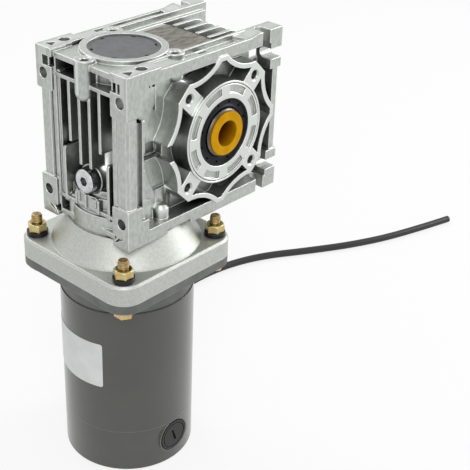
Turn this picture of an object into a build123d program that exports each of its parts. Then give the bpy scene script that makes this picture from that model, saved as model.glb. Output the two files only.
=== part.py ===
from build123d import *
import math
import os

os.makedirs("parts", exist_ok=True)

# Frame: the origin is the centre of the output bore, Y runs along that bore, Z along the worm and motor.

# Worm pair
centre_distance = 40.0
gear_module = 2.0
wheel_teeth = 30
pressure_angle = 20.0
tooth_play = 0.3
tooth_root_gap = 0.4
wheel_face_width = 14.0
worm_turns = 6
wheel_pitch_radius = gear_module * wheel_teeth / 2
worm_pitch_radius = centre_distance - wheel_pitch_radius
worm_lead = math.pi * gear_module
worm_tip_radius = worm_pitch_radius + gear_module
worm_root_radius = worm_pitch_radius - gear_module - tooth_root_gap
wheel_tip_radius = wheel_pitch_radius + gear_module
wheel_root_radius = wheel_pitch_radius - gear_module - tooth_root_gap
worm_x = -centre_distance

# Gearbox casting: its mounting faces, rails and walls
fin_face = -71.5
end_face = 50.0
case_half_height = 50.0
case_half_width = 35.5
flange_face = 36.5
rail_width = 11.0
rail_height = 8.0
web_thickness = 3.0
web_inset = 23.5
drum_wall = 3.8
barrel_wall = 5.5
top_housing_wall = 4.5
low_housing_wall = 3.5
low_wall_radius = 29.5
low_wall_top = -28.5
low_wall_base = -43.0
front_plate_level = 27.0
front_plate_arc = 51.0
fin_thickness = 1.8
fin_pitch = 8.0
fin_reach = -69.5
low_ring_radius = 31.5
low_ring_height = 11.5
top_ring_radius = 24.0
boss_radius = 5.5
low_boss_radius = 4.7
low_boss_height = 14.0
pad_end = 11.0

# Foot blocks and their bolt holes
foot_bolt_hole = 6.5
foot_bolt_y = 30.0
foot_bolt_z = 35.0
foot_depth = 10.5
foot_width = 12.5
foot_height = 24.0
rail_bolt_x = -56.0
rail_slot_x = 36.25
end_foot_depth = 9.0

# Output flange, the same on the casting and on the side cover
flange_pcd = 75.0
flange_tap_drill = 5.0
flange_tap_depth = 10.0
flange_lobe_radius = 43.5
flange_lobe_width = 12.0
flange_point_radius = 44.5
flange_point_width = 6.0
flange_waist_radius = 39.5
flange_rim = 2.8
flange_tap_sink = 0.9
flange_sink_depth = 0.45
flange_pocket_depth = 11.0
pilot_diameter = 60.0
pilot_height = 2.0
pilot_pocket_depth = 1.4

# Output shaft line
output_bore = 18.0
output_key_width = 6.0
output_key_reach = 11.8
shaft_length = 78.0
seal_journal = 28.0
bearing_journal = 30.0
output_bearing_od = 55.0
output_bearing_width = 13.0
output_seal_od = 40.0
output_seal_width = 7.0
output_seal_inset = 0.5
hub_radius = 22.0
wheel_cavity_radius = 33.2
wheel_cavity_reach = 14.0
cover_seat = 27.5
cover_radius = 41.5
cover_screw_pcd = 79.0
cover_screw = 4.0
cover_screw_start = 22.5
cover_lobe = cover_screw + 1.0
cover_screw_depth = 2.5 * cover_screw
cover_collar = cover_screw_depth + 1.5
cover_pocket_depth = 5.0
plug_depth = 12.0
plug_lip = 26.0
plug_lip_thickness = 1.6
plug_relief = 0.5

# Worm shaft line
top_bearing_od = 40.0
top_bearing_bore = 17.0
low_bearing_od = 47.0
low_bearing_bore = 25.0
worm_bearing_width = 12.0
circlip_thickness = 1.5
circlip_depth = 1.0
input_seal_width = 6.0
bearing_cap_height = 5.5
adapter_spigot = 2.5
top_shoulder = case_half_height - bearing_cap_height - circlip_thickness - worm_bearing_width
low_shoulder = adapter_spigot + input_seal_width + circlip_thickness + worm_bearing_width - case_half_height
worm_cavity_radius = 15.0
cap_recess = 0.4
oil_plug_z = low_shoulder + 8.0
oil_plug_thread = 10.0
oil_plug_head = 14.0
oil_boss_radius = 8.5
oil_boss_face = -65.5

# Flange for the motor
square_size = 92.0
square_corner = 13.0
adapter_plate = 12.0
adapter_height = 27.0
bell_top_radius = 33.0
bell_foot_radius = 43.5
bell_bore = 34.0
bell_roof = 9.0
adapter_screw = 6.0
adapter_screw_wall = 0.5
adapter_screw_pcd = low_bearing_od + 2 * (circlip_depth + adapter_screw_wall) + adapter_screw
top_screw_drill = 5.04
bracket_thickness = 5.5
square_bolt_inset = 9.5
square_bolt_spacing = square_size - 2 * square_bolt_inset
square_bolt = 6.0

# Motor
motor_shaft_diameter = 11.0
motor_key = 4.0
motor_key_length = 16.0
motor_radius = 40.0
motor_tube_wall = 3.0
motor_front_length = 12.5
motor_tube_length = 86.0
rear_cap_length = 30.0
cap_wall = 3.5
magnet_thickness = 6.0
magnet_length = 60.0
magnet_angle = 126.0
air_gap = 0.8
core_length = 50.0
core_slots = 12
commutator_radius = 13.0
commutator_length = 15.0
front_bearing_od = 32.0
front_bearing_width = 10.0
front_journal = 12.0
rear_bearing_od = 22.0
rear_bearing_width = 7.0
rear_journal = 8.0
brush_height = 18.5
brush_width = 8.0
brush_thickness = 6.0
brush_length = 14.0
brush_cap_diameter = 20.0
brush_cap_depth = 3.0
brush_boss_radius = 11.5
through_bolt = 4.0
through_bolt_angle = 70.0
through_bolt_radius = 34.0
cord_exit_angle = 45.0
cord_exit_height = 15.0
cord_diameter = 5.8

# Fits
running_gap = 0.05
seat_gap = 0.02

# Levels along the motor axis, downwards
adapter_base = -case_half_height - adapter_height
bracket_base = adapter_base - bracket_thickness
tube_top = bracket_base - motor_front_length
tube_base = tube_top - motor_tube_length
motor_base = tube_base - rear_cap_length
worm_top = top_shoulder + worm_bearing_width
worm_bottom = -case_half_height
low_circlip_top = low_shoulder - worm_bearing_width
input_seal_top = low_circlip_top - circlip_thickness
plate_level = case_half_height - 4.5
brush_z = motor_base + brush_height
rear_bearing_base = motor_base + cap_wall
front_bearing_base = tube_top + 1.0
rear_bearing_top = rear_bearing_base + rear_bearing_width
front_bearing_top = front_bearing_base + front_bearing_width
shaft_top = low_shoulder + 3.0
core_centre = (tube_top + tube_base) / 2

# Depths along the output axis, from the centre outwards
output_seal_face = flange_face + pilot_height - output_seal_inset
output_seal_back = output_seal_face - output_seal_width
output_bearing_back = output_seal_back - output_bearing_width


def block(x0, x1, y0, y1, z0, z1, mode=Mode.ADD):
    """A rectangular block between two corners."""
    with Locations(((x0 + x1) / 2, (y0 + y1) / 2, (z0 + z1) / 2)):
        Box(abs(x1 - x0), abs(y1 - y0), abs(z1 - z0), mode=mode)


def upright(x, y, radius, z0, z1, mode=Mode.ADD):
    """A round post, or a bore, about a vertical axis."""
    with Locations((x, y, (z0 + z1) / 2)):
        Cylinder(radius, abs(z1 - z0), mode=mode)


def crosswise(x, z, radius, y0, y1, mode=Mode.ADD):
    """A round boss, or a bore, about an axis along Y."""
    with Locations(Location((x, (y0 + y1) / 2, z), (90, 0, 0))):
        Cylinder(radius, abs(y1 - y0), mode=mode)


def lengthwise(y, z, radius, x0, x1, mode=Mode.ADD):
    """A round boss, or a bore, about an axis along X."""
    with Locations(Location(((x0 + x1) / 2, y, z), (0, 90, 0))):
        Cylinder(radius, abs(x1 - x0), mode=mode)


def polar(radius, angle):
    """A point in a sketch at this radius and angle in degrees."""
    return (radius * math.cos(math.radians(angle)), radius * math.sin(math.radians(angle)))


def ring_about_worm(inner, outer, z0, z1):
    """A plain ring on the worm and motor axis."""
    with BuildPart() as ring:
        upright(worm_x, 0, outer, z0, z1)
        upright(worm_x, 0, inner, z0, z1, mode=Mode.SUBTRACT)
    return ring.part


def ring_about_output(inner, outer, y0, y1):
    """A plain ring on the output axis."""
    with BuildPart() as ring:
        crosswise(0, 0, outer, y0, y1)
        crosswise(0, 0, inner, y0, y1, mode=Mode.SUBTRACT)
    return ring.part


def hex_head(across_flats, height):
    """A hexagonal head or nut blank standing on the sketch plane at the origin."""
    with BuildPart() as head:
        with BuildSketch():
            RegularPolygon(across_flats / 2, 6, major_radius=False)
        extrude(amount=height)
        with BuildSketch(Plane.XZ):
            with BuildLine():
                rim = across_flats / math.sqrt(3)
                top_edge = (across_flats / 2 - 0.3, height)
                Polyline((0, 0), (rim, 0), (rim, height - 0.8), top_edge, (0, height), (0, 0))
            make_face()
        revolve(axis=Axis.Z, mode=Mode.INTERSECT)
    return head.part


def socket_screw(thread, length):
    """A socket-head screw: its head stands up from the origin and its shank goes down."""
    head_radius = thread * 0.75 + 0.5
    with BuildPart() as screw:
        upright(0, 0, head_radius, 0, thread)
        upright(0, 0, thread / 2, -length, 0)
        with BuildSketch(Plane.XY.offset(thread)):
            RegularPolygon(thread * 0.42, 6, major_radius=False)
        extrude(amount=-thread * 0.55, mode=Mode.SUBTRACT)
    return screw.part


def lobe_corners(angle):
    """The two ends of the flat tip of one lobe of the output flange."""
    tapped = round(angle / 45) % 2 == 1
    radius = flange_lobe_radius if tapped else flange_point_radius
    half = (flange_lobe_width if tapped else flange_point_width) / 2
    tip = Vector(*polar(radius, angle))
    side = Vector(*polar(half, angle + 90))
    return tip - side, tip + side


def lobed_outline():
    """The wavy outline of the output flange: eight flat-tipped lobes joined by hollow arcs."""
    with BuildSketch() as outline:
        with BuildLine():
            for angle in range(0, 360, 45):
                start, end = lobe_corners(angle)
                Line(start, end)
                ThreePointArc(end, polar(flange_waist_radius, angle + 22.5), lobe_corners(angle + 45)[0])
        make_face()
    return outline.sketch


def cover_outline():
    """The outline of the side cover: a disc with four tapped lobes and four lobes for its own screws."""
    with BuildSketch() as outline:
        Circle(cover_radius)
        with PolarLocations(cover_screw_pcd / 2, 4, start_angle=cover_screw_start):
            Circle(cover_lobe)
        with PolarLocations(flange_pcd / 2, 4, start_angle=45):
            Circle(flange_lobe_radius - flange_pcd / 2)
    return outline.sketch


def flange_pockets(outline, keep_screw_pads):
    """The four cast pockets between the pilot ring and the rim of a flange outline."""
    with BuildSketch() as pockets:
        add(offset(outline, amount=-flange_rim, kind=Kind.INTERSECTION, mode=Mode.PRIVATE))
        Circle(pilot_diameter / 2, mode=Mode.SUBTRACT)
        with PolarLocations(flange_pcd / 2, 4, start_angle=45):
            Rectangle(flange_pcd / 2, flange_lobe_width, mode=Mode.SUBTRACT)
        if keep_screw_pads:
            with PolarLocations(cover_screw_pcd / 2, 4, start_angle=cover_screw_start):
                Circle(cover_lobe, mode=Mode.SUBTRACT)
    return pockets.sketch


def sector(inner, outer, half_angle):
    """A piece of a ring, centred on the X axis of its sketch."""
    with BuildSketch() as shape:
        with BuildLine():
            CenterArc((0, 0), outer, -half_angle, 2 * half_angle)
            Line(polar(outer, half_angle), polar(inner, half_angle))
            CenterArc((0, 0), inner, -half_angle, 2 * half_angle)
            Line(polar(inner, -half_angle), polar(outer, -half_angle))
        make_face()
    return shape.sketch


def pilot_pockets():
    """The eight shallow pockets in the face of the pilot ring."""
    with BuildSketch() as pockets:
        with PolarLocations(0, 8, start_angle=22.5):
            add(sector(output_seal_od / 2 + 3.0, pilot_diameter / 2 - 2.5, 15.0))
    return pockets.sketch


def flange_cuts(side, outline, pocket_depth, keep_screw_pads=False):
    """All that is cut from an output flange: tapped holes, cast pockets, seal bore and bearing seat."""
    face = Plane(origin=(0, side * flange_face, 0), x_dir=(1, 0, 0), z_dir=(0, side, 0))
    with BuildPart() as cuts:
        with BuildSketch(face):
            with PolarLocations(flange_pcd / 2, 4, start_angle=45):
                Circle(flange_tap_drill / 2)
        extrude(amount=-flange_tap_depth)
        with BuildSketch(face):
            with PolarLocations(flange_pcd / 2, 4, start_angle=45):
                Circle(flange_tap_drill / 2 + flange_tap_sink)
        extrude(amount=-flange_sink_depth, taper=math.degrees(math.atan(flange_tap_sink / flange_sink_depth)))
        extrude(face * flange_pockets(outline, keep_screw_pads), amount=-pocket_depth)
        extrude(face.offset(pilot_height) * pilot_pockets(), amount=-pilot_pocket_depth)
        crosswise(0, 0, output_seal_od / 2, side * (flange_face + pilot_height), side * output_seal_back)
        crosswise(0, 0, output_bearing_od / 2, side * output_seal_back, side * wheel_cavity_reach)
    return cuts.part


def cover_screw_places():
    """Where the side cover's screws stand, as X and Z, the same in the casting, the cover and the screws."""
    return [polar(cover_screw_pcd / 2, cover_screw_start + quarter * 90) for quarter in range(4)]


top_screw_angles = (180, 60, -60)
low_screw_angles = (-90, 30, 150)

# One corner of the casting's frame: a post at each end, a rail, two feet and a quarter of a side web
with BuildPart() as corner:
    post_face = case_half_width - 1.0
    with BuildSketch(Plane.XZ.offset(-web_inset)):
        web_end, web_top = end_face - web_thickness, case_half_height - rail_height / 2
        with Locations(((fin_reach + web_end) / 2, web_top / 2)):
            Rectangle(web_end - fin_reach, web_top)
        with Locations((end_face - 11.5, foot_bolt_z)):
            RectangleRounded(10.0, 9.0, 1.5, mode=Mode.SUBTRACT)
    extrude(amount=web_thickness / 2, both=True)
    with BuildSketch():
        with BuildLine():
            Polyline(
                (fin_face + 3.5, web_inset - 3.0),
                (fin_face + 3.5, case_half_width - 10.0),
                (fin_face + 1.0, case_half_width - 9.0),
                (fin_face + 1.0, post_face - 1.5),
                (fin_face + 2.5, post_face),
                (fin_face + 7.5, post_face),
                (fin_face + 7.5, web_inset - 3.0),
                close=True,
            )
        make_face()
        with BuildLine():
            Polyline(
                (end_face - 5.5, web_inset),
                (end_face - 5.5, post_face),
                (end_face - 1.5, post_face),
                (end_face - 1.5, case_half_width - 6.0),
                (end_face - 3.0, case_half_width - 6.0),
                (end_face - 3.0, web_inset),
                close=True,
            )
        make_face()
    extrude(amount=case_half_height - foot_height / 2)
    with BuildSketch(Plane.XY.offset(case_half_height)):
        with Locations(((fin_face + end_face) / 2, case_half_width - rail_width / 2)):
            Rectangle(end_face - fin_face, rail_width)
    extrude(amount=-rail_height)
    foot_z = case_half_height - foot_height / 2
    with BuildSketch(Plane.YZ.offset(fin_face)):
        with Locations((case_half_width - foot_width / 2, foot_z)):
            RectangleRounded(foot_width, foot_height, 1.0)
    extrude(amount=foot_depth)
    with BuildSketch(Plane.YZ.offset(end_face)):
        with Locations((case_half_width - rail_width / 2, foot_z)):
            Rectangle(rail_width, foot_height)
    extrude(amount=-end_foot_depth)
    deep_rail = fin_face + foot_depth + 5.0
    block(fin_face, deep_rail, web_inset, case_half_width, foot_bolt_z, case_half_height)
    # Bolt holes and open slots
    lengthwise(foot_bolt_y, foot_bolt_z, foot_bolt_hole / 2, fin_face, deep_rail, mode=Mode.SUBTRACT)
    with BuildSketch(Plane.YZ.offset(end_face)):
        with Locations((foot_bolt_y + foot_bolt_hole, foot_bolt_z)):
            SlotOverall(3 * foot_bolt_hole, foot_bolt_hole)
    extrude(amount=-end_foot_depth, mode=Mode.SUBTRACT)
    with BuildSketch(Plane.XY.offset(case_half_height)):
        with Locations((rail_slot_x, foot_bolt_y + foot_bolt_hole)):
            SlotOverall(3 * foot_bolt_hole, foot_bolt_hole, rotation=90)
        with Locations((rail_bolt_x, foot_bolt_y)):
            Circle(foot_bolt_hole / 2)
    extrude(amount=-12.0, mode=Mode.SUBTRACT)
    # Cast pocket in the rail above the foot
    with BuildSketch(Plane.XY.offset(case_half_height)):
        with Locations((fin_face + 6.0, foot_bolt_y)):
            Triangle(a=7, b=7, c=7, rotation=-90)
    extrude(amount=-3.0, mode=Mode.SUBTRACT)

# Cast pockets in the faces of the four feet: square ones above, with a rib inside, and split triangles below
with BuildPart() as foot_pockets:
    pocket_y0, pocket_y1 = foot_bolt_y - 7.2, foot_bolt_y + 0.4
    pocket_z0, pocket_z1 = case_half_height - 10.2, case_half_height - 4.6
    for side in (-1, 1):
        block(fin_face, fin_face + 6.0, side * pocket_y0, side * pocket_y1, pocket_z0, pocket_z1)
        rib_y = side * (pocket_y0 + pocket_y1) / 2
        block(fin_face + 1.2, fin_face + 6.0, rib_y - 0.5, rib_y + 0.5, pocket_z0, pocket_z1, Mode.SUBTRACT)
        with BuildSketch(Plane.YZ.offset(fin_face)):
            with BuildLine():
                deep_top = (side * (foot_bolt_y - 7.6), 7.2 - case_half_height)
                deep_side = (side * (foot_bolt_y - 3.8), 5.8 - case_half_height)
                deep_foot = (side * (foot_bolt_y - 7.6), 1.6 - case_half_height)
                Polyline(deep_top, deep_side, deep_foot, close=True)
            make_face()
        extrude(amount=5.0)
        with BuildSketch(Plane.YZ.offset(fin_face)):
            with BuildLine():
                flat_start = (side * (foot_bolt_y - 2.4), 5.6 - case_half_height)
                flat_end = (side * (foot_bolt_y + 1.0), 5.8 - case_half_height)
                flat_foot = (side * (foot_bolt_y - 5.8), 1.6 - case_half_height)
                Polyline(flat_start, flat_end, flat_foot, close=True)
            make_face()
        extrude(amount=1.4)

# Ribs and fins, cast on the finned face, beside the barrel and over the drum
with BuildPart() as fins:
    fin_length = worm_x - fin_reach
    fin_middle = (fin_reach + worm_x) / 2
    web_level = case_half_height - 14.0
    rib_top = oil_plug_z - oil_boss_radius
    for step in (-1.5, -0.5, 0.5, 1.5):
        low_end = 0.0 if abs(step) > 1 else oil_plug_z + oil_boss_radius
        with BuildSketch(Plane.XZ.offset(-step * fin_pitch)):
            with Locations((fin_middle, (low_end + web_level) / 2)):
                Rectangle(fin_length, web_level - low_end)
        extrude(amount=fin_thickness / 2, both=True)
    for step in (-1, 0, 1):
        with BuildSketch(Plane.XZ.offset(-step * fin_pitch)):
            with Locations((fin_middle, (rib_top - web_level) / 2)):
                Rectangle(fin_length, rib_top + web_level)
        extrude(amount=fin_thickness / 2, both=True)
    for side in (-1, 1):
        # A flat plate in front of the barrel, cut back in an arc about the wheel, and two ribs above it
        with BuildSketch(Plane.XZ.offset(side * front_plate_level)):
            with Locations((fin_face + 20.0, 0)):
                Rectangle(16.0, 2 * web_level)
            Circle(front_plate_arc, mode=Mode.SUBTRACT)
        extrude(amount=-side * fin_thickness)
        for rib_x, rib_low in ((worm_x - 6.0, web_level - 12.0), (worm_x - 2.5, web_level - 14.0)):
            block(rib_x - 0.7, rib_x + 0.7, 0, side * front_plate_level, rib_low, case_half_height - rail_height / 2)
        with BuildSketch(Plane.XZ.offset(-side * 2.2 * fin_pitch)):
            with Locations((fin_middle, oil_plug_z - 2.0)):
                RectangleRounded(fin_length, 34.0, 1.5)
        extrude(amount=fin_thickness / 2, both=True)
        with BuildSketch(Plane.YZ.offset(fin_face + 13.5)):
            with Locations((side * (web_inset + 4.5), -8.0)):
                RectangleRounded(11.0, 62.0, 1.2)
        extrude(amount=fin_thickness / 2, both=True)
    for fin_y in (-14.0, -5.0, 4.0, 13.0):
        with BuildSketch(Plane.XZ.offset(-fin_y)):
            with BuildLine():
                fin_top = case_half_height - 3.0
                Line((pad_end, -fin_top), (pad_end, fin_top))
                Line((pad_end, fin_top), (27, fin_top))
                ThreePointArc((27, fin_top), (34.8, fin_top - 3.2), (38, fin_top - 11))
                Line((38, fin_top - 11), (38, 11 - fin_top))
                ThreePointArc((38, 11 - fin_top), (34.8, 3.2 - fin_top), (27, -fin_top))
                Line((27, -fin_top), (pad_end, -fin_top))
            make_face()
        extrude(amount=fin_thickness * 0.6, both=True)
    lengthwise(0, oil_plug_z, oil_boss_radius, oil_boss_face, worm_x)

# Round faces, screw bosses and web plates at both ends of the worm barrel
with BuildPart() as barrel_ends:
    for level in (-1, 1):
        face_z = level * case_half_height
        block(fin_face + 2.0, worm_x, -web_inset, web_inset, face_z - level * 2.0, face_z - level * 5.0)
        block(fin_reach, worm_x, -web_inset, web_inset, face_z - level * 13.0, face_z - level * 15.0)
    for angle in top_screw_angles:
        boss_x, boss_y = polar(adapter_screw_pcd / 2, angle)
        boss_end = case_half_height - (18.0 if angle == 180 else 11.5)
        upright(worm_x + boss_x, boss_y, boss_radius, case_half_height, boss_end)
        with Locations((worm_x + boss_x, boss_y, boss_end)):
            Sphere(boss_radius)
    for angle in low_screw_angles:
        boss_x, boss_y = polar(adapter_screw_pcd / 2, angle)
        boss_end = low_boss_height - case_half_height
        upright(worm_x + boss_x, boss_y, low_boss_radius, -case_half_height, boss_end)
        with BuildSketch(Plane.XY.offset(boss_end)):
            with Locations((worm_x + boss_x, boss_y)):
                Circle(low_boss_radius)
        extrude(amount=2.0, taper=40)
    upright(worm_x, 0, top_ring_radius, case_half_height - 10, case_half_height + cap_recess)
    with BuildSketch(Plane.XY.offset(-case_half_height)):
        with Locations((worm_x, 0)):
            Circle(low_ring_radius)
        with Locations((worm_x - low_ring_radius, 0)):
            Rectangle(2 * (low_ring_radius - 10), 2 * web_inset, mode=Mode.INTERSECT)
    extrude(amount=low_ring_height)
    # The wall round the lower bearing, proud of the barrel beside each lower foot
    with BuildSketch(Plane.XY.offset(low_wall_base)):
        with Locations((worm_x, 0)):
            Circle(low_wall_radius)
        with Locations((worm_x - low_wall_radius, 0)):
            Rectangle(2 * (low_wall_radius - 8), 2 * low_wall_radius, mode=Mode.INTERSECT)
    extrude(amount=low_wall_top - low_wall_base)
    pad_start = worm_x + top_ring_radius
    block(pad_start, pad_end, -web_inset, web_inset, case_half_height - 9, plate_level)

# Everything bored, drilled or cored out of the casting
with BuildPart() as hollows:
    upright(worm_x, 0, worm_cavity_radius, low_shoulder, top_shoulder)
    upright(worm_x, 0, top_bearing_od / 2, top_shoulder, case_half_height + 1)
    upright(worm_x, 0, low_bearing_od / 2, -case_half_height, low_shoulder)
    upright(worm_x, 0, top_bearing_od / 2 + circlip_depth, worm_top, worm_top + circlip_thickness)
    upright(worm_x, 0, low_bearing_od / 2 + circlip_depth, input_seal_top, low_circlip_top)
    crosswise(0, 0, wheel_cavity_radius, -wheel_cavity_reach, cover_seat)
    # The left point of the flange rim is open, and a hollow runs from it back to the barrel
    block(worm_x - 18, worm_x + 3, -flange_face, -19.5, -6.0, 4.0)
    for level, angles, hole in ((-1, low_screw_angles, adapter_screw), (1, top_screw_angles, top_screw_drill)):
        for angle in angles:
            hole_x, hole_y = polar(adapter_screw_pcd / 2, angle)
            face_z = level * case_half_height
            upright(worm_x + hole_x, hole_y, hole / 2, face_z, face_z - level * 2 * adapter_screw)
    for hole_x, hole_z in cover_screw_places():
        crosswise(hole_x, hole_z, cover_screw / 2, cover_seat - cover_screw_depth, cover_seat)
    lengthwise(0, oil_plug_z, oil_plug_thread / 2, oil_boss_face, worm_x - worm_cavity_radius + 5)
    # The plug's seal sits on a spot face, which also clears the bearing housing below it
    lengthwise(0, oil_plug_z, oil_boss_radius, oil_boss_face, fin_face)
    add(foot_pockets.part)
    # A slot under each lower rail, open to the flange below
    for side in (-1, 1):
        slot_y0, slot_y1 = side * (case_half_width - 4.0), side * case_half_width
        block(worm_x - 2, worm_x + 17, slot_y0, slot_y1, -case_half_height, -case_half_height + 2.4)
    add(flange_cuts(-1, lobed_outline(), flange_pocket_depth))

# Gearbox casting
with BuildPart() as gearbox_housing:
    upright(worm_x, 0, worm_cavity_radius + barrel_wall, -case_half_height, plate_level)
    upright(worm_x, 0, top_bearing_od / 2 + top_housing_wall, top_shoulder - 3.0, plate_level)
    upright(worm_x, 0, low_bearing_od / 2 + low_housing_wall, -case_half_height, low_shoulder + 3.0)
    crosswise(0, 0, wheel_cavity_radius + drum_wall, -web_inset, cover_seat)
    crosswise(0, 0, flange_lobe_radius, cover_seat - cover_collar, cover_seat)
    extrude(Plane.XZ.offset(flange_face) * lobed_outline(), amount=-(flange_face - web_inset))
    crosswise(0, 0, pilot_diameter / 2, -flange_face - pilot_height, -flange_face)
    rear_corner = corner.part
    front_corner = rear_corner.mirror(Plane.XZ)
    corners = [rear_corner, front_corner, rear_corner.mirror(Plane.XY), front_corner.mirror(Plane.XY)]
    add([*corners, barrel_ends.part, fins.part])
    add(hollows.part, mode=Mode.SUBTRACT)
gearbox_housing.part.label = "gearbox_housing"
export_step(gearbox_housing.part, "parts/gearbox_housing.step")

# Side cover that closes the wheel chamber from the rear and carries the second output bearing
with BuildPart() as side_cover:
    extrude(Plane.XZ.offset(-cover_seat) * cover_outline(), amount=-(flange_face - cover_seat))
    crosswise(0, 0, pilot_diameter / 2, flange_face, flange_face + pilot_height)
    crosswise(0, 0, wheel_cavity_radius - seat_gap, output_bearing_back + 1.0, cover_seat)
    add(flange_cuts(1, cover_outline(), cover_pocket_depth, keep_screw_pads=True), mode=Mode.SUBTRACT)
    groove_out = wheel_cavity_radius + 1.0
    add(ring_about_output(groove_out - 2.5, groove_out, cover_seat - 4.0, cover_seat - 1.8), mode=Mode.SUBTRACT)
    head_seat = flange_face - cover_screw
    for hole_x, hole_z in cover_screw_places():
        crosswise(hole_x, hole_z, cover_screw / 2 + 0.2, cover_seat, flange_face, mode=Mode.SUBTRACT)
        crosswise(hole_x, hole_z, cover_screw * 0.75 + 0.8, head_seat, flange_face, mode=Mode.SUBTRACT)
side_cover.part.label = "side_cover"
export_step(side_cover.part, "parts/side_cover.step")

with BuildPart() as side_cover_screws:
    cover_screw_grip = head_seat - cover_seat
    for hole_x, hole_z in cover_screw_places():
        place = Plane(origin=(hole_x, head_seat, hole_z), x_dir=(1, 0, 0), z_dir=(0, 1, 0))
        add(place * socket_screw(cover_screw - 2 * seat_gap, cover_screw_grip + 1.6 * cover_screw))
side_cover_screws.part.label = "side_cover_screws"
export_step(side_cover_screws.part, "parts/side_cover_screws.step")

with BuildPart() as side_cover_o_ring:
    with BuildSketch(Plane.XY):
        with Locations((wheel_cavity_radius - 0.75, cover_seat - 2.9)):
            Circle(0.74)
    revolve(axis=Axis.Y)
side_cover_o_ring.part.label = "side_cover_o_ring"
export_step(side_cover_o_ring.part, "parts/side_cover_o_ring.step")

# Output bearings: rings of the two shielded ball bearings, outer ones still, inner ones on the shaft
bearing_ring = 4.0
with BuildPart() as output_bearing_outer_rings:
    for side in (-1, 1):
        near, far = side * output_bearing_back, side * output_seal_back
        add(ring_about_output(output_bearing_od / 2 - bearing_ring, output_bearing_od / 2 - seat_gap, near, far))
        shield_out, shield_in = far, far - side * 1.0
        shield_bore = bearing_journal / 2 + bearing_ring + running_gap
        add(ring_about_output(shield_bore, output_bearing_od / 2 - bearing_ring + 0.5, shield_in, shield_out))
        add(ring_about_output(shield_bore, output_bearing_od / 2 - bearing_ring + 0.5, near, near + side * 1.0))
output_bearing_outer_rings.part.label = "output_bearing_outer_rings"
export_step(output_bearing_outer_rings.part, "parts/output_bearing_outer_rings.step")

with BuildPart() as output_bearing_inner_rings:
    for side in (-1, 1):
        near, far = side * output_bearing_back, side * output_seal_back
        add(ring_about_output(bearing_journal / 2 + seat_gap, bearing_journal / 2 + bearing_ring, near, far))
output_bearing_inner_rings.part.label = "output_bearing_inner_rings"
export_step(output_bearing_inner_rings.part, "parts/output_bearing_inner_rings.step")

# Output shaft seals: a rubber-covered ring whose lip runs on the shaft
with BuildPart() as output_seals:
    for side in (-1, 1):
        lip = seal_journal / 2 + running_gap
        rim = output_seal_od / 2 - seat_gap
        with BuildSketch(Plane.XY):
            with BuildLine():
                Polyline(
                    (lip, side * output_seal_face - side * 1.0),
                    (lip + 1.2, side * output_seal_face - side * 0.2),
                    (lip + 2.2, side * output_seal_face - side * 1.0),
                    (rim - 1.4, side * output_seal_face - side * 1.0),
                    (rim - 0.8, side * output_seal_face),
                    (rim, side * output_seal_face),
                    (rim, side * output_seal_back),
                    (rim - 1.6, side * output_seal_back),
                    (rim - 1.6, side * output_seal_face - side * 3.0),
                    (lip + 1.5, side * output_seal_face - side * 3.0),
                    (lip + 0.6, side * output_seal_back + side * 2.0),
                    (lip, side * output_seal_back + side * 2.6),
                    close=True,
                )
            make_face()
        revolve(axis=Axis.Y)
output_seals.part.label = "output_seals"
export_step(output_seals.part, "parts/output_seals.step")

# Hollow output shaft and hub, turned from one blank, with a through keyway
with BuildPart() as wheel_hub:
    half_shaft = shaft_length / 2
    rim_seat = hub_radius - seat_gap
    hub_half = output_bearing_back
    with BuildSketch(Plane.XY):
        with BuildLine():
            Polyline(
                (output_bore / 2, -half_shaft),
                (seal_journal / 2 - 0.8, -half_shaft),
                (seal_journal / 2, 0.8 - half_shaft),
                (seal_journal / 2, -output_seal_back - 0.5),
                (bearing_journal / 2, -output_seal_back - 0.5),
                (bearing_journal / 2, -hub_half),
                (bearing_journal / 2 + 2.5, -hub_half),
                (bearing_journal / 2 + 2.5, -wheel_face_width / 2 - 2.0),
                (rim_seat + 3.0, -wheel_face_width / 2 - 2.0),
                (rim_seat + 3.0, -wheel_face_width / 2),
                (rim_seat, -wheel_face_width / 2),
                (rim_seat, wheel_face_width / 2),
                (bearing_journal / 2 + 2.5, wheel_face_width / 2),
                (bearing_journal / 2 + 2.5, hub_half),
                (bearing_journal / 2, hub_half),
                (bearing_journal / 2, output_seal_back + 0.5),
                (seal_journal / 2, output_seal_back + 0.5),
                (seal_journal / 2, half_shaft - 0.8),
                (seal_journal / 2 - 0.8, half_shaft),
                (output_bore / 2, half_shaft),
                close=True,
            )
        make_face()
    revolve(axis=Axis.Y)
    crosswise(0, 0, output_bore / 2 + plug_relief, -half_shaft, -half_shaft + plug_depth + 1, mode=Mode.SUBTRACT)
    half_key = output_key_width / 2
    block(-half_key, half_key, -half_shaft, half_shaft, 0, output_key_reach, mode=Mode.SUBTRACT)
wheel_hub.part.label = "wheel_hub"
export_step(wheel_hub.part, "parts/wheel_hub.step")


def involute(base_radius, radius, start_angle, hand):
    """A point of a tooth flank: the involute of the base circle at this radius."""
    roll = math.sqrt(max((radius / base_radius) ** 2 - 1, 0))
    turn = roll - math.atan(roll)
    return polar(radius, start_angle + hand * math.degrees(turn))


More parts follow.
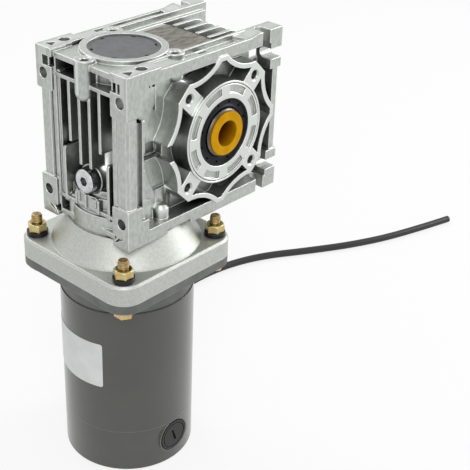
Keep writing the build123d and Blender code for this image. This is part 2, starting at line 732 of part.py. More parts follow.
def wheel_section(turn):
    """The wheel's toothed section, turned by an angle in degrees, with a tooth space towards the worm."""
    base_radius = wheel_pitch_radius * math.cos(math.radians(pressure_angle))
    pitch_roll = math.tan(math.radians(pressure_angle)) - math.radians(pressure_angle)
    tooth_half = math.degrees((math.pi * gear_module / 2 - tooth_play) / 2 / wheel_pitch_radius)
    root_half = tooth_half + math.degrees(pitch_roll)
    flank_radii = (base_radius, (base_radius + wheel_tip_radius) / 2, wheel_tip_radius)
    with BuildSketch() as section:
        with BuildLine():
            for tooth in range(wheel_teeth):
                centre = 180 + (tooth + 0.5) * 360 / wheel_teeth + turn
                rise, fall = centre - root_half, centre + root_half
                foot = polar(wheel_root_radius, rise)
                flank_in = [involute(base_radius, radius, rise, 1) for radius in flank_radii]
                flank_out = [involute(base_radius, radius, fall, -1) for radius in reversed(flank_radii)]
                Line(foot, flank_in[0])
                ThreePointArc(*flank_in)
                Line(flank_in[2], flank_out[0])
                ThreePointArc(*flank_out)
                Line(flank_out[2], polar(wheel_root_radius, fall))
                next_foot = polar(wheel_root_radius, rise + 360 / wheel_teeth)
                Line(polar(wheel_root_radius, fall), next_foot)
        make_face()
        Circle(hub_radius, mode=Mode.SUBTRACT)
    return section.sketch


# Bronze worm wheel rim: helical teeth that follow the lead of the worm
with BuildPart() as worm_wheel:
    half_face = wheel_face_width / 2
    tooth_turn = math.degrees(worm_lead / (2 * math.pi * worm_pitch_radius) * half_face / wheel_pitch_radius)
    rear_section = Plane.XZ.offset(-half_face) * wheel_section(-tooth_turn)
    front_section = Plane.XZ.offset(half_face) * wheel_section(tooth_turn)
    loft([rear_section, front_section], ruled=True)
worm_wheel.part.label = "worm_wheel"
export_step(worm_wheel.part, "parts/worm_wheel.step")

# Worm shaft: one thread cut on a shaft that is bored below for the motor shaft
with BuildPart() as worm_shaft:
    thread_half = worm_turns * worm_lead / 2
    shoulder_radius = low_bearing_bore / 2 + 2.5
    with BuildSketch(Plane.XZ):
        with BuildLine():
            top_journal = top_bearing_bore / 2
            low_journal = low_bearing_bore / 2
            Polyline(
                (worm_x, worm_top),
                (worm_x + top_journal - 0.5, worm_top),
                (worm_x + top_journal, worm_top - 0.5),
                (worm_x + top_journal, top_shoulder),
                (worm_x + top_journal + 2, top_shoulder),
                (worm_x + top_journal + 2, top_shoulder - 3),
                (worm_x + worm_root_radius, top_shoulder - 6),
                (worm_x + worm_root_radius, -thread_half - 1),
                (worm_x + shoulder_radius, low_shoulder + 3),
                (worm_x + shoulder_radius, low_shoulder),
                (worm_x + low_journal, low_shoulder),
                (worm_x + low_journal, worm_bottom),
                (worm_x, worm_bottom),
                close=True,
            )
        make_face()
    revolve(axis=Axis((worm_x, 0, 0), (0, 0, 1)))
    flank = math.tan(math.radians(pressure_angle))
    pitch_half = (worm_lead / 2 - tooth_play) / 2
    tip_half = pitch_half - gear_module * flank
    foot_half = pitch_half + (gear_module + tooth_root_gap) * flank
    helix = Helix(worm_lead, 2 * thread_half, worm_pitch_radius, center=(worm_x, 0, -thread_half))
    with BuildSketch(Plane(origin=(worm_x, 0, -thread_half), x_dir=(1, 0, 0), z_dir=(0, -1, 0))) as thread_section:
        with BuildLine():
            Polyline(
                (worm_root_radius - 0.4, -foot_half),
                (worm_tip_radius, -tip_half),
                (worm_tip_radius, tip_half),
                (worm_root_radius - 0.4, foot_half),
                close=True,
            )
        make_face()
    sweep(thread_section.sketch, path=helix, is_frenet=True)
    upright(worm_x, 0, motor_shaft_diameter / 2, worm_bottom, low_shoulder + 4, mode=Mode.SUBTRACT)
    half_key = motor_key / 2
    key_reach = motor_shaft_diameter / 2 + 1.8
    block(worm_x, worm_x + key_reach, -half_key, half_key, worm_bottom, low_shoulder, mode=Mode.SUBTRACT)
worm_shaft.part.label = "worm_shaft"
export_step(worm_shaft.part, "parts/worm_shaft.step")

# Worm bearings: outer rings seated in the casting, inner rings on the worm shaft
with BuildPart() as worm_bearing_outer_rings:
    top_outer, low_outer = top_bearing_od / 2, low_bearing_od / 2
    top_inner, low_inner = top_bearing_bore / 2, low_bearing_bore / 2
    race = 3.5
    for outer, inner, z0 in ((top_outer, top_inner, top_shoulder), (low_outer, low_inner, low_circlip_top)):
        z1 = z0 + worm_bearing_width
        add(ring_about_worm(outer - race, outer - seat_gap, z0, z1))
        add(ring_about_worm(inner + race + running_gap, outer - race + 0.5, z0, z0 + 1.0))
        add(ring_about_worm(inner + race + running_gap, outer - race + 0.5, z1 - 1.0, z1))
worm_bearing_outer_rings.part.label = "worm_bearing_outer_rings"
export_step(worm_bearing_outer_rings.part, "parts/worm_bearing_outer_rings.step")

with BuildPart() as worm_bearing_inner_rings:
    add(ring_about_worm(top_inner + seat_gap, top_inner + race, top_shoulder, worm_top))
    add(ring_about_worm(low_inner + seat_gap, low_inner + race, low_circlip_top, low_shoulder))
worm_bearing_inner_rings.part.label = "worm_bearing_inner_rings"
export_step(worm_bearing_inner_rings.part, "parts/worm_bearing_inner_rings.step")

# Circlips that hold both worm bearings, each with its gap and two plier holes
with BuildPart() as bearing_circlips:
    for outer, z0 in ((top_outer, worm_top), (low_outer, input_seal_top)):
        with BuildSketch(Plane.XY.offset(z0)):
            with Locations((worm_x, 0)):
                Circle(outer + circlip_depth - seat_gap)
                Circle(outer - 2.5, mode=Mode.SUBTRACT)
            with Locations((worm_x - outer + 2, 0)):
                Rectangle(9, 8)
            with Locations((worm_x - outer, 0)):
                Rectangle(16, 3, mode=Mode.SUBTRACT)
            with Locations((worm_x - outer + 4, 2.8), (worm_x - outer + 4, -2.8)):
                Circle(0.8, mode=Mode.SUBTRACT)
            with Locations((worm_x, 0)):
                Circle(outer + circlip_depth - seat_gap, mode=Mode.INTERSECT)
        extrude(amount=circlip_thickness - seat_gap)
bearing_circlips.part.label = "bearing_circlips"
export_step(bearing_circlips.part, "parts/bearing_circlips.step")

# Oil seal at the foot of the worm shaft
with BuildPart() as input_oil_seal:
    seal_low = input_seal_top - input_seal_width
    with BuildSketch(Plane.XZ):
        with BuildLine():
            lip = worm_x + low_bearing_bore / 2 + running_gap
            rim = worm_x + low_bearing_od / 2 - seat_gap
            Polyline(
                (lip, seal_low + 0.8),
                (lip + 1.2, seal_low),
                (rim, seal_low),
                (rim, input_seal_top),
                (rim - 1.6, input_seal_top),
                (rim - 1.6, seal_low + 2.4),
                (lip + 1.5, seal_low + 2.4),
                (lip + 0.8, input_seal_top - 1.0),
                (lip, input_seal_top - 1.6),
                close=True,
            )
        make_face()
    revolve(axis=Axis((worm_x, 0, 0), (0, 0, 1)))
input_oil_seal.part.label = "input_oil_seal"
export_step(input_oil_seal.part, "parts/input_oil_seal.step")

# Round plastic cap pressed in over the upper worm bearing, dished, with six pry notches
with BuildPart() as bearing_cap:
    cap_low = worm_top + circlip_thickness
    cap_radius = top_bearing_od / 2 - seat_gap
    upright(worm_x, 0, cap_radius, cap_low, case_half_height)
    upright(worm_x, 0, cap_radius - 2.2, cap_low, case_half_height - 2.4, mode=Mode.SUBTRACT)
    upright(worm_x, 0, cap_radius - 1.2, case_half_height - 0.4, case_half_height, mode=Mode.SUBTRACT)
    for angle in range(30, 390, 60):
        notch_x, notch_y = polar(cap_radius - 2.4, angle)
        with Locations(Location((worm_x + notch_x, notch_y, case_half_height - 0.7), (0, 0, angle))):
            Box(1.4, 3.0, 1.4, mode=Mode.SUBTRACT)
bearing_cap.part.label = "bearing_cap"
export_step(bearing_cap.part, "parts/bearing_cap.step")

# Oil plug with its hexagon socket, and the sealing ring under its head
plug_seal = 1.5
plug_head_back = oil_boss_face - plug_seal
plug_axis = Plane(origin=(plug_head_back, 0, oil_plug_z), x_dir=(0, 1, 0), z_dir=(-1, 0, 0))
with BuildPart() as oil_plug:
    with BuildSketch(plug_axis):
        Circle(oil_plug_head / 2)
    extrude(amount=4.5)
    chamfer(oil_plug.faces().sort_by(Axis.X)[0].edges(), 0.7)
    with BuildSketch(plug_axis):
        Circle(oil_plug_thread / 2 - seat_gap)
    extrude(amount=-9.0)
    with BuildSketch(plug_axis.offset(4.5)):
        RegularPolygon(2.5, 6, major_radius=False)
    extrude(amount=-4.0, mode=Mode.SUBTRACT)
oil_plug.part.label = "oil_plug"
export_step(oil_plug.part, "parts/oil_plug.step")

with BuildPart() as oil_plug_seal:
    with BuildSketch(plug_axis):
        Circle(oil_plug_head / 2 + 0.6)
        Circle(oil_plug_thread / 2 + seat_gap, mode=Mode.SUBTRACT)
    extrude(amount=-plug_seal)
oil_plug_seal.part.label = "oil_plug_seal"
export_step(oil_plug_seal.part, "parts/oil_plug_seal.step")

# Thin metal plate on its pad between the rails
with BuildPart() as nameplate:
    plate_width = 35.5
    with BuildSketch(Plane.XY.offset(plate_level)):
        with BuildLine():
            plate_left = -math.sqrt((top_ring_radius + 0.8) ** 2 - (plate_width / 2) ** 2)
            Polyline(
                (worm_x - plate_left, -plate_width / 2),
                (pad_end - 0.5, -plate_width / 2),
                (pad_end - 0.5, plate_width / 2),
                (worm_x - plate_left, plate_width / 2),
            )
            ThreePointArc(
                (worm_x - plate_left, plate_width / 2),
                (worm_x + top_ring_radius + 0.8, 0),
                (worm_x - plate_left, -plate_width / 2),
            )
        make_face()
    extrude(amount=0.8)
nameplate.part.label = "nameplate"
export_step(nameplate.part, "parts/nameplate.step")

# Plastic plug that keeps dirt out of the bore until a shaft is fitted
with BuildPart() as bore_plug:
    half_shaft = shaft_length / 2
    plug_radius = output_bore / 2 + plug_relief - running_gap
    crosswise(0, 0, plug_lip / 2, -half_shaft - plug_lip_thickness, -half_shaft)
    crosswise(0, 0, plug_radius, -half_shaft, -half_shaft + plug_depth)
    front_edges = bore_plug.faces().sort_by(Axis.Y)[0].edges()
    fillet(front_edges, 0.6)
    well = output_bore / 2 - 1.3
    crosswise(0, 0, well, -half_shaft - plug_lip_thickness, plug_depth - half_shaft - 1.5, mode=Mode.SUBTRACT)
bore_plug.part.label = "bore_plug"
export_step(bore_plug.part, "parts/bore_plug.step")

# Bell-shaped flange between gearbox and motor
bolt_reach = square_bolt_spacing / 2
bolt_places = [(worm_x + x * bolt_reach, y * bolt_reach) for x in (-1, 1) for y in (-1, 1)]
with BuildPart() as motor_adapter:
    plate_top = adapter_base + adapter_plate
    with BuildSketch(Plane.XY.offset(adapter_base)):
        with Locations((worm_x, 0)):
            RectangleRounded(square_size, square_size, square_corner)
    extrude(amount=adapter_plate)
    chamfer(motor_adapter.faces().sort_by(Axis.Z)[-1].edges(), 1.2)
    with BuildSketch(Plane.XZ):
        with BuildLine():
            Line((worm_x, adapter_base), (worm_x + bell_foot_radius, adapter_base))
            Line((worm_x + bell_foot_radius, adapter_base), (worm_x + bell_foot_radius, plate_top + 0.6))
            ThreePointArc(
                (worm_x + bell_foot_radius, plate_top + 0.6),
                (worm_x + bell_foot_radius - 4.2, plate_top + 6.0),
                (worm_x + bell_top_radius, -case_half_height),
            )
            Line((worm_x + bell_top_radius, -case_half_height), (worm_x, -case_half_height))
            Line((worm_x, -case_half_height), (worm_x, adapter_base))
        make_face()
    revolve(axis=Axis((worm_x, 0, 0), (0, 0, 1)))
    # Spigot into the seal bore, inner bell, shaft hole, screw holes and bolt holes
    upright(worm_x, 0, low_bearing_od / 2 - seat_gap, -case_half_height, seal_low - 0.1)
    upright(worm_x, 0, bell_bore, adapter_base, -case_half_height - bell_roof, mode=Mode.SUBTRACT)
    upright(worm_x, 0, low_bearing_bore / 2 + 1.5, adapter_base, seal_low, mode=Mode.SUBTRACT)
    for angle in low_screw_angles:
        hole_x, hole_y = polar(adapter_screw_pcd / 2, angle)
        hole_radius = adapter_screw / 2 + 0.3
        upright(worm_x + hole_x, hole_y, hole_radius, adapter_base, -case_half_height, mode=Mode.SUBTRACT)
    for bolt_x, bolt_y in bolt_places:
        upright(bolt_x, bolt_y, square_bolt / 2 + 0.3, adapter_base, plate_top, mode=Mode.SUBTRACT)
motor_adapter.part.label = "motor_adapter"
export_step(motor_adapter.part, "parts/motor_adapter.step")

with BuildPart() as adapter_screws:
    for angle in low_screw_angles:
        hole_x, hole_y = polar(adapter_screw_pcd / 2, angle)
        place = Plane(origin=(worm_x + hole_x, hole_y, -case_half_height - bell_roof), z_dir=(0, 0, -1))
        add(place * socket_screw(adapter_screw - 2 * seat_gap, bell_roof + 1.6 * adapter_screw))
adapter_screws.part.label = "adapter_screws"
export_step(adapter_screws.part, "parts/adapter_screws.step")

# Motor front bracket: square flange, register for the adapter, bearing seat and round shoulder
with BuildPart() as motor_front_bracket:
    with BuildSketch(Plane.XY.offset(bracket_base)):
        with Locations((worm_x, 0)):
            RectangleRounded(square_size, square_size, square_corner)
    extrude(amount=bracket_thickness)
    register_radius = bell_bore - seat_gap
    upright(worm_x, 0, register_radius, adapter_base, adapter_base + 3)
    upright(worm_x, 0, motor_radius - 0.5, tube_top, bracket_base)
    upright(worm_x, 0, motor_radius - motor_tube_wall - seat_gap, tube_top - 4, tube_top)
    upright(worm_x, 0, motor_radius - motor_tube_wall - 4, tube_top - 4, tube_top, mode=Mode.SUBTRACT)
    upright(worm_x, 0, front_bearing_od / 2, tube_top - 4, front_bearing_top, mode=Mode.SUBTRACT)
    upright(worm_x, 0, front_journal / 2 + 2, front_bearing_top, adapter_base + 3, mode=Mode.SUBTRACT)
    for bolt_x, bolt_y in bolt_places:
        upright(bolt_x, bolt_y, square_bolt / 2 + 0.3, bracket_base, adapter_base, mode=Mode.SUBTRACT)
    for angle in (through_bolt_angle, through_bolt_angle + 180):
        rod_x, rod_y = polar(through_bolt_radius, angle)
        upright(worm_x + rod_x, rod_y, through_bolt / 2, tube_top, bracket_base + 2, mode=Mode.SUBTRACT)
        upright(worm_x + rod_x, rod_y, through_bolt / 2 + 1, tube_top - 4, tube_top, mode=Mode.SUBTRACT)
motor_front_bracket.part.label = "motor_front_bracket"
export_step(motor_front_bracket.part, "parts/motor_front_bracket.step")

# Bolts, nuts and washers that join the two square flanges
square_grip = adapter_plate + bracket_thickness
washer_thickness = 2.6
nut_height = 5.0
bolt_tip = 5.5
with BuildPart() as one_bolt:
    add(Plane(origin=(0, 0, 0), z_dir=(0, 0, -1)) * hex_head(10.0, 4.0))
    upright(0, 0, square_bolt / 2, 0, square_grip + washer_thickness + nut_height + bolt_tip)
    chamfer(one_bolt.faces().sort_by(Axis.Z)[-1].edges(), 0.8)
with BuildPart() as flange_bolts:
    for bolt_x, bolt_y in bolt_places:
        add(Pos(bolt_x, bolt_y, bracket_base) * one_bolt.part)
flange_bolts.part.label = "flange_bolts"
export_step(flange_bolts.part, "parts/flange_bolts.step")

with BuildPart() as flange_washers:
    for bolt_x, bolt_y in bolt_places:
        upright(bolt_x, bolt_y, square_bolt + 0.2, plate_top, plate_top + washer_thickness)
        washer_bore = square_bolt / 2 + seat_gap
        upright(bolt_x, bolt_y, washer_bore, plate_top, plate_top + washer_thickness, mode=Mode.SUBTRACT)
flange_washers.part.label = "flange_washers"
export_step(flange_washers.part, "parts/flange_washers.step")

with BuildPart() as flange_nuts:
    nut_base = plate_top + washer_thickness
    for bolt_x, bolt_y in bolt_places:
        add(Pos(bolt_x, bolt_y, nut_base) * hex_head(10.0, nut_height))
        upright(bolt_x, bolt_y, washer_bore, nut_base, nut_base + nut_height, mode=Mode.SUBTRACT)
flange_nuts.part.label = "flange_nuts"
export_step(flange_nuts.part, "parts/flange_nuts.step")

# Motor tube and its two magnets
tube_bore = motor_radius - motor_tube_wall
with BuildPart() as motor_tube:
    add(ring_about_worm(tube_bore, motor_radius, tube_base, tube_top))
motor_tube.part.label = "motor_tube"
export_step(motor_tube.part, "parts/motor_tube.step")

with BuildPart() as field_magnets:
    with BuildSketch(Plane.XY.offset(core_centre - magnet_length / 2)):
        with Locations((worm_x, 0)):
            with PolarLocations(0, 2):
                add(sector(tube_bore - magnet_thickness, tube_bore - seat_gap, magnet_angle / 2))
    extrude(amount=magnet_length)
field_magnets.part.label = "field_magnets"
export_step(field_magnets.part, "parts/field_magnets.step")

# Motor shaft, from its keyed end in the worm down to the rear bearing
core_bore = 8.0
with BuildPart() as motor_shaft:
    with BuildSketch(Plane.XZ):
        with BuildLine():
            key_end = motor_shaft_diameter / 2 - seat_gap
            Polyline(
                (worm_x, shaft_top),
                (worm_x + key_end - 0.8, shaft_top),
                (worm_x + key_end, shaft_top - 0.8),
                (worm_x + key_end, front_bearing_top + 1.5),
                (worm_x + front_journal / 2, front_bearing_top + 1.5),
                (worm_x + front_journal / 2, front_bearing_base),
                (worm_x + core_bore, front_bearing_base),
                (worm_x + core_bore, rear_bearing_top),
                (worm_x + rear_journal / 2, rear_bearing_top),
                (worm_x + rear_journal / 2, rear_bearing_base + 0.5),
                (worm_x, rear_bearing_base + 0.5),
                close=True,
            )
        make_face()
    revolve(axis=Axis((worm_x, 0, 0), (0, 0, 1)))
    key_low = worm_bottom + 3.0
    key_floor = motor_shaft_diameter / 2 - 2.5
    half_key = motor_key / 2
    key_high = key_low + motor_key_length
    block(worm_x + key_floor, worm_x + 8, -half_key, half_key, key_low, key_high, mode=Mode.SUBTRACT)
motor_shaft.part.label = "motor_shaft"
export_step(motor_shaft.part, "parts/motor_shaft.step")

with BuildPart() as motor_shaft_key:
    key_side = half_key - seat_gap
    key_out = worm_x + motor_shaft_diameter / 2 + 1.8 - running_gap
    low, high = key_low + seat_gap, key_high - seat_gap
    block(worm_x + key_floor + seat_gap, key_out, -key_side, key_side, low, high)
motor_shaft_key.part.label = "motor_shaft_key"
export_step(motor_shaft_key.part, "parts/motor_shaft_key.step")

# Armature: slotted core, end windings and commutator on the motor shaft
core_radius = tube_bore - magnet_thickness - air_gap
with BuildPart() as armature_core:
    with BuildSketch(Plane.XY.offset(core_centre - core_length / 2)):
        with Locations((worm_x, 0)):
            Circle(core_radius)
            Circle(core_bore + seat_gap, mode=Mode.SUBTRACT)
            with PolarLocations(core_radius - 6.0, core_slots):
                RectangleRounded(8.0, 6.0, 2.0, mode=Mode.SUBTRACT)
            with PolarLocations(core_radius, core_slots):
                Rectangle(6.0, 2.4, mode=Mode.SUBTRACT)
    extrude(amount=core_length)
armature_core.part.label = "armature_core"
export_step(armature_core.part, "parts/armature_core.step")

with BuildPart() as armature_windings:
    for end in (-1, 1):
        face_z = core_centre + end * core_length / 2
        with BuildSketch(Plane.XZ):
            with BuildLine():
                coil_in, coil_out = worm_x + core_bore + 1.0, worm_x + core_radius - 2.0
                Line((coil_in, face_z), (coil_out, face_z))
                coil_top = (coil_in + 8.0, face_z + end * 10.0)
                ThreePointArc((coil_out, face_z), (coil_out - 3.0, face_z + end * 8.0), coil_top)
                Line(coil_top, (coil_in, face_z + end * 8.0))
                Line((coil_in, face_z + end * 8.0), (coil_in, face_z))
            make_face()
        revolve(axis=Axis((worm_x, 0, 0), (0, 0, 1)))
armature_windings.part.label = "armature_windings"
export_step(armature_windings.part, "parts/armature_windings.step")

with BuildPart() as commutator:
    commutator_top = brush_z + commutator_length / 2
    with BuildSketch(Plane.XY.offset(brush_z - commutator_length / 2)):
        with Locations((worm_x, 0)):
            Circle(commutator_radius)
            Circle(core_bore + seat_gap, mode=Mode.SUBTRACT)
            with PolarLocations(commutator_radius, core_slots):
                Rectangle(3.0, 0.8, mode=Mode.SUBTRACT)
    extrude(amount=commutator_length)
commutator.part.label = "commutator"
export_step(commutator.part, "parts/commutator.step")

# Motor bearings
with BuildPart() as motor_bearing_outer_rings:
    front_outer, rear_outer = front_bearing_od / 2, rear_bearing_od / 2
    front_inner, rear_inner = front_journal / 2, rear_journal / 2
    race = 2.2
    for outer, inner, z0, z1 in (
        (front_outer, front_inner, front_bearing_base, front_bearing_top),
        (rear_outer, rear_inner, rear_bearing_base, rear_bearing_top),
    ):
        add(ring_about_worm(outer - race, outer - seat_gap, z0, z1))
        add(ring_about_worm(inner + race + running_gap, outer - race + 0.5, z0, z0 + 0.8))
        add(ring_about_worm(inner + race + running_gap, outer - race + 0.5, z1 - 0.8, z1))
motor_bearing_outer_rings.part.label = "motor_bearing_outer_rings"
export_step(motor_bearing_outer_rings.part, "parts/motor_bearing_outer_rings.step")

with BuildPart() as motor_bearing_inner_rings:
    add(ring_about_worm(front_inner + seat_gap, front_inner + race, front_bearing_base, front_bearing_top))
    add(ring_about_worm(rear_inner + seat_gap, rear_inner + race, rear_bearing_base, rear_bearing_top))
motor_bearing_inner_rings.part.label = "motor_bearing_inner_rings"
export_step(motor_bearing_inner_rings.part, "parts/motor_bearing_inner_rings.step")

# Rear cap: a cast cup with the rear bearing seat, two brush bosses and the cord hole
cup_radius = motor_radius - cap_wall
holder_radius = 7.0
exit_x, exit_y = polar(motor_radius, cord_exit_angle)
exit_z = motor_base + cord_exit_height
exit_plane = Plane(origin=(worm_x + exit_x, exit_y, exit_z), z_dir=(*polar(1, cord_exit_angle), 0))
grommet_radius = 5.0
with BuildPart() as rear_cap:
    upright(worm_x, 0, motor_radius, motor_base, tube_base)
    chamfer(rear_cap.faces().sort_by(Axis.Z)[0].edges(), 1.0)
    upright(worm_x, 0, cup_radius, motor_base + cap_wall, tube_base, mode=Mode.SUBTRACT)
    upright(worm_x, 0, tube_bore - seat_gap, tube_base - 4, tube_base + 3)
    upright(worm_x, 0, cup_radius - 3.0, tube_base - 4, tube_base + 3, mode=Mode.SUBTRACT)
    upright(worm_x, 0, rear_bearing_od / 2 + 3, motor_base + cap_wall, rear_bearing_top)
    upright(worm_x, 0, rear_bearing_od / 2, rear_bearing_base, rear_bearing_top, mode=Mode.SUBTRACT)
    for side in (-1, 1):
        crosswise(worm_x, brush_z, brush_boss_radius, side * (motor_radius - 9.0), side * motor_radius)
    for side in (-1, 1):
        crosswise(worm_x, brush_z, holder_radius + seat_gap, 0, side * motor_radius, mode=Mode.SUBTRACT)
        cap_mouth, cap_step = side * motor_radius, side * (motor_radius - brush_cap_depth)
        crosswise(worm_x, brush_z, brush_cap_diameter / 2 + 0.6, cap_step, cap_mouth, mode=Mode.SUBTRACT)
    for angle in (through_bolt_angle, through_bolt_angle + 180):
        rod_x, rod_y = polar(through_bolt_radius, angle)
        upright(worm_x + rod_x, rod_y, through_bolt + 0.5, motor_base + cap_wall, tube_base)
        upright(worm_x + rod_x, rod_y, through_bolt / 2 + 0.2, motor_base, tube_base + 3, mode=Mode.SUBTRACT)
        upright(worm_x + rod_x, rod_y, through_bolt, motor_base, motor_base + 3.2, mode=Mode.SUBTRACT)
    with BuildSketch(exit_plane):
        Circle(grommet_radius)
    extrude(amount=-cap_wall - 2, both=True, mode=Mode.SUBTRACT)
rear_cap.part.label = "rear_cap"
export_step(rear_cap.part, "parts/rear_cap.step")

# Long screws that clamp the tube between the rear cap and the front bracket
with BuildPart() as through_bolts:
    for angle in (through_bolt_angle, through_bolt_angle + 180):
        rod_x, rod_y = polar(through_bolt_radius, angle)
        upright(worm_x + rod_x, rod_y, through_bolt / 2 - seat_gap, motor_base + 3.0, bracket_base + 1.5)
        upright(worm_x + rod_x, rod_y, through_bolt - 0.3, motor_base + 0.4, motor_base + 3.2)
        slot_x, slot_low = worm_x + rod_x, motor_base + 0.4
        block(slot_x - 3, slot_x + 3, rod_y - 0.5, rod_y + 0.5, slot_low, slot_low + 1.2, mode=Mode.SUBTRACT)
through_bolts.part.label = "through_bolts"
export_step(through_bolts.part, "parts/through_bolts.step")

# Brush gear: insulated holders, carbon brushes, springs and slotted screw caps
holder_inner = commutator_radius + 3.0
brush_end = commutator_radius + brush_length
cap_back = motor_radius - brush_cap_depth
with BuildPart() as brush_holders:
    for side in (-1, 1):
        crosswise(worm_x, brush_z, holder_radius, side * holder_inner, side * cap_back)
        half_w, half_t = brush_width / 2, brush_thickness / 2
        x0, x1 = worm_x - half_w, worm_x + half_w
        block(x0, x1, side * holder_inner, side * cap_back, brush_z - half_t, brush_z + half_t, mode=Mode.SUBTRACT)
brush_holders.part.label = "brush_holders"
export_step(brush_holders.part, "parts/brush_holders.step")

with BuildPart() as carbon_brushes:
    for side in (-1, 1):
        x0, x1 = worm_x - half_w + running_gap, worm_x + half_w - running_gap
        z0, z1 = brush_z - half_t + running_gap, brush_z + half_t - running_gap
        block(x0, x1, side * (commutator_radius - 1.5), side * brush_end, z0, z1)
    upright(worm_x, 0, commutator_radius + running_gap, brush_z - 5, brush_z + 5, mode=Mode.SUBTRACT)
carbon_brushes.part.label = "carbon_brushes"
export_step(carbon_brushes.part, "parts/carbon_brushes.step")

spring_turns = 4
spring_length = cap_back - brush_end - 2 * seat_gap
with BuildPart() as brush_springs:
    for side in (-1, 1):
        coil_start = side * (brush_end + 0.45)
        coil_length = spring_length - 0.9
        coil_place = {"center": (worm_x, coil_start, brush_z), "direction": (0, side, 0)}
        coil = Helix(coil_length / spring_turns, coil_length, 2.2, **coil_place)
        with BuildSketch(Plane(origin=coil @ 0, z_dir=coil % 0)) as wire_section:
            Circle(0.4)
        sweep(wire_section.sketch, path=coil, is_frenet=True)
brush_springs.part.label = "brush_springs"
export_step(brush_springs.part, "parts/brush_springs.step")

with BuildPart() as brush_caps:
    for side in (-1, 1):
        crosswise(worm_x, brush_z, brush_cap_diameter / 2, side * cap_back, side * (motor_radius + 0.4))
        groove_in, groove_out = brush_cap_diameter / 2 - 1.9, brush_cap_diameter / 2 - 1.1
        face_y = side * (motor_radius + 0.4)
        crosswise(worm_x, brush_z, groove_out, side * (motor_radius - 0.4), face_y, mode=Mode.SUBTRACT)
        crosswise(worm_x, brush_z, groove_in, side * (motor_radius - 0.4), face_y)
        slot_turn = 20 * side
        with Locations(Location((worm_x, face_y, brush_z), (0, slot_turn, 0))):
            Box(1.8, 3.0, 9.0, mode=Mode.SUBTRACT)
brush_caps.part.label = "brush_caps"
export_step(brush_caps.part, "parts/brush_caps.step")

# Blank paper label on the tube
label_right, label_sweep = 205.0, 84.0
label_top, label_height = -118.0, 30.5
with BuildPart() as motor_label:
    with BuildSketch(Plane.XY.offset(label_top)):
        with Locations((worm_x, 0)):
            shape = sector(motor_radius + seat_gap, motor_radius + 0.25, label_sweep / 2)
            add(Rot(0, 0, label_right - label_sweep / 2) * shape)
    extrude(amount=-label_height)
motor_label.part.label = "motor_label"
export_step(motor_label.part, "parts/motor_label.step")

# Rubber grommet in the rear cap, with a tapered sleeve around the cord
sleeve_length = 10.5
with BuildPart() as cord_grommet:
    with BuildSketch(Plane.XZ):
        with BuildLine():
            cord_radius = cord_diameter / 2
            Polyline(
                (cord_radius + seat_gap, -cap_wall - 2.2),
                (grommet_radius + 1.5, -cap_wall - 2.2),
                (grommet_radius + 1.5, -cap_wall - 0.9),
                (grommet_radius - seat_gap, -cap_wall - 0.9),
                (grommet_radius - seat_gap, 0.3),
                (grommet_radius + 1.6, 0.3),
                (grommet_radius + 1.2, 2.3),
                (cord_radius + 1.7, 3.0),
                (cord_radius + 0.8, sleeve_length),
                (cord_radius + seat_gap, sleeve_length),
                close=True,
            )
        make_face()
    revolve(axis=Axis.Z)
cord_grommet.part = exit_plane.location * cord_grommet.part
cord_grommet.part.label = "cord_grommet"
export_step(cord_grommet.part, "parts/cord_grommet.step")

# Supply cord: out of the rear cap, down to the floor and away behind the motor; its end is cut off plain
floor_line = motor_base + cord_diameter / 2
cord_points = [
    tuple((exit_plane.location * Pos(0, 0, -cap_wall - 1.0)).position),
    tuple((exit_plane.location * Pos(0, 0, 24.0)).position),
    (32.0, 72.0, motor_base + 6.5),
    (66.0, 88.5, floor_line),
    (106.0, 94.0, floor_line),
    (147.0, 92.5, floor_line),
    (184.0, 81.0, floor_line),
    (221.0, 57.5, floor_line),
    (259.0, 36.0, floor_line),
    (303.0, 18.5, floor_line),
    (353.5, 5.5, floor_line),
]


def corner_radii(points):
    """The largest arcs that each corner's two runs allow."""
    places = [Vector(*point) for point in points]
    radii = []
    for before, here, after in zip(places, places[1:], places[2:]):
        turn = math.radians((here - before).get_angle(after - here))
        shorter = min((here - before).length, (after - here).length)
        radii.append(0.45 * shorter / math.tan(turn / 2))
    return radii


cord_radii = corner_radii(cord_points)
with BuildPart() as supply_cord:
    with BuildLine() as cord_line:
        FilletPolyline(*cord_points, radius=cord_radii)
    with BuildSketch(Plane(origin=cord_line.line @ 0, z_dir=cord_line.line % 0)) as cord_section:
        Circle(cord_diameter / 2)
    sweep(cord_section.sketch, path=cord_line.line)
supply_cord.part.label = "supply_cord"
export_step(supply_cord.part, "parts/supply_cord.step")
cord_length = cord_line.wire().length
print("cord radii", [round(radius) for radius in cord_radii], "length", round(cord_length, 1))
cord_area = math.pi * cord_diameter**2 / 4
print("cord volume over section times length", supply_cord.part.volume / (cord_area * cord_length))
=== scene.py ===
import math

import bmesh
import bpy
from mathutils import Matrix, Vector


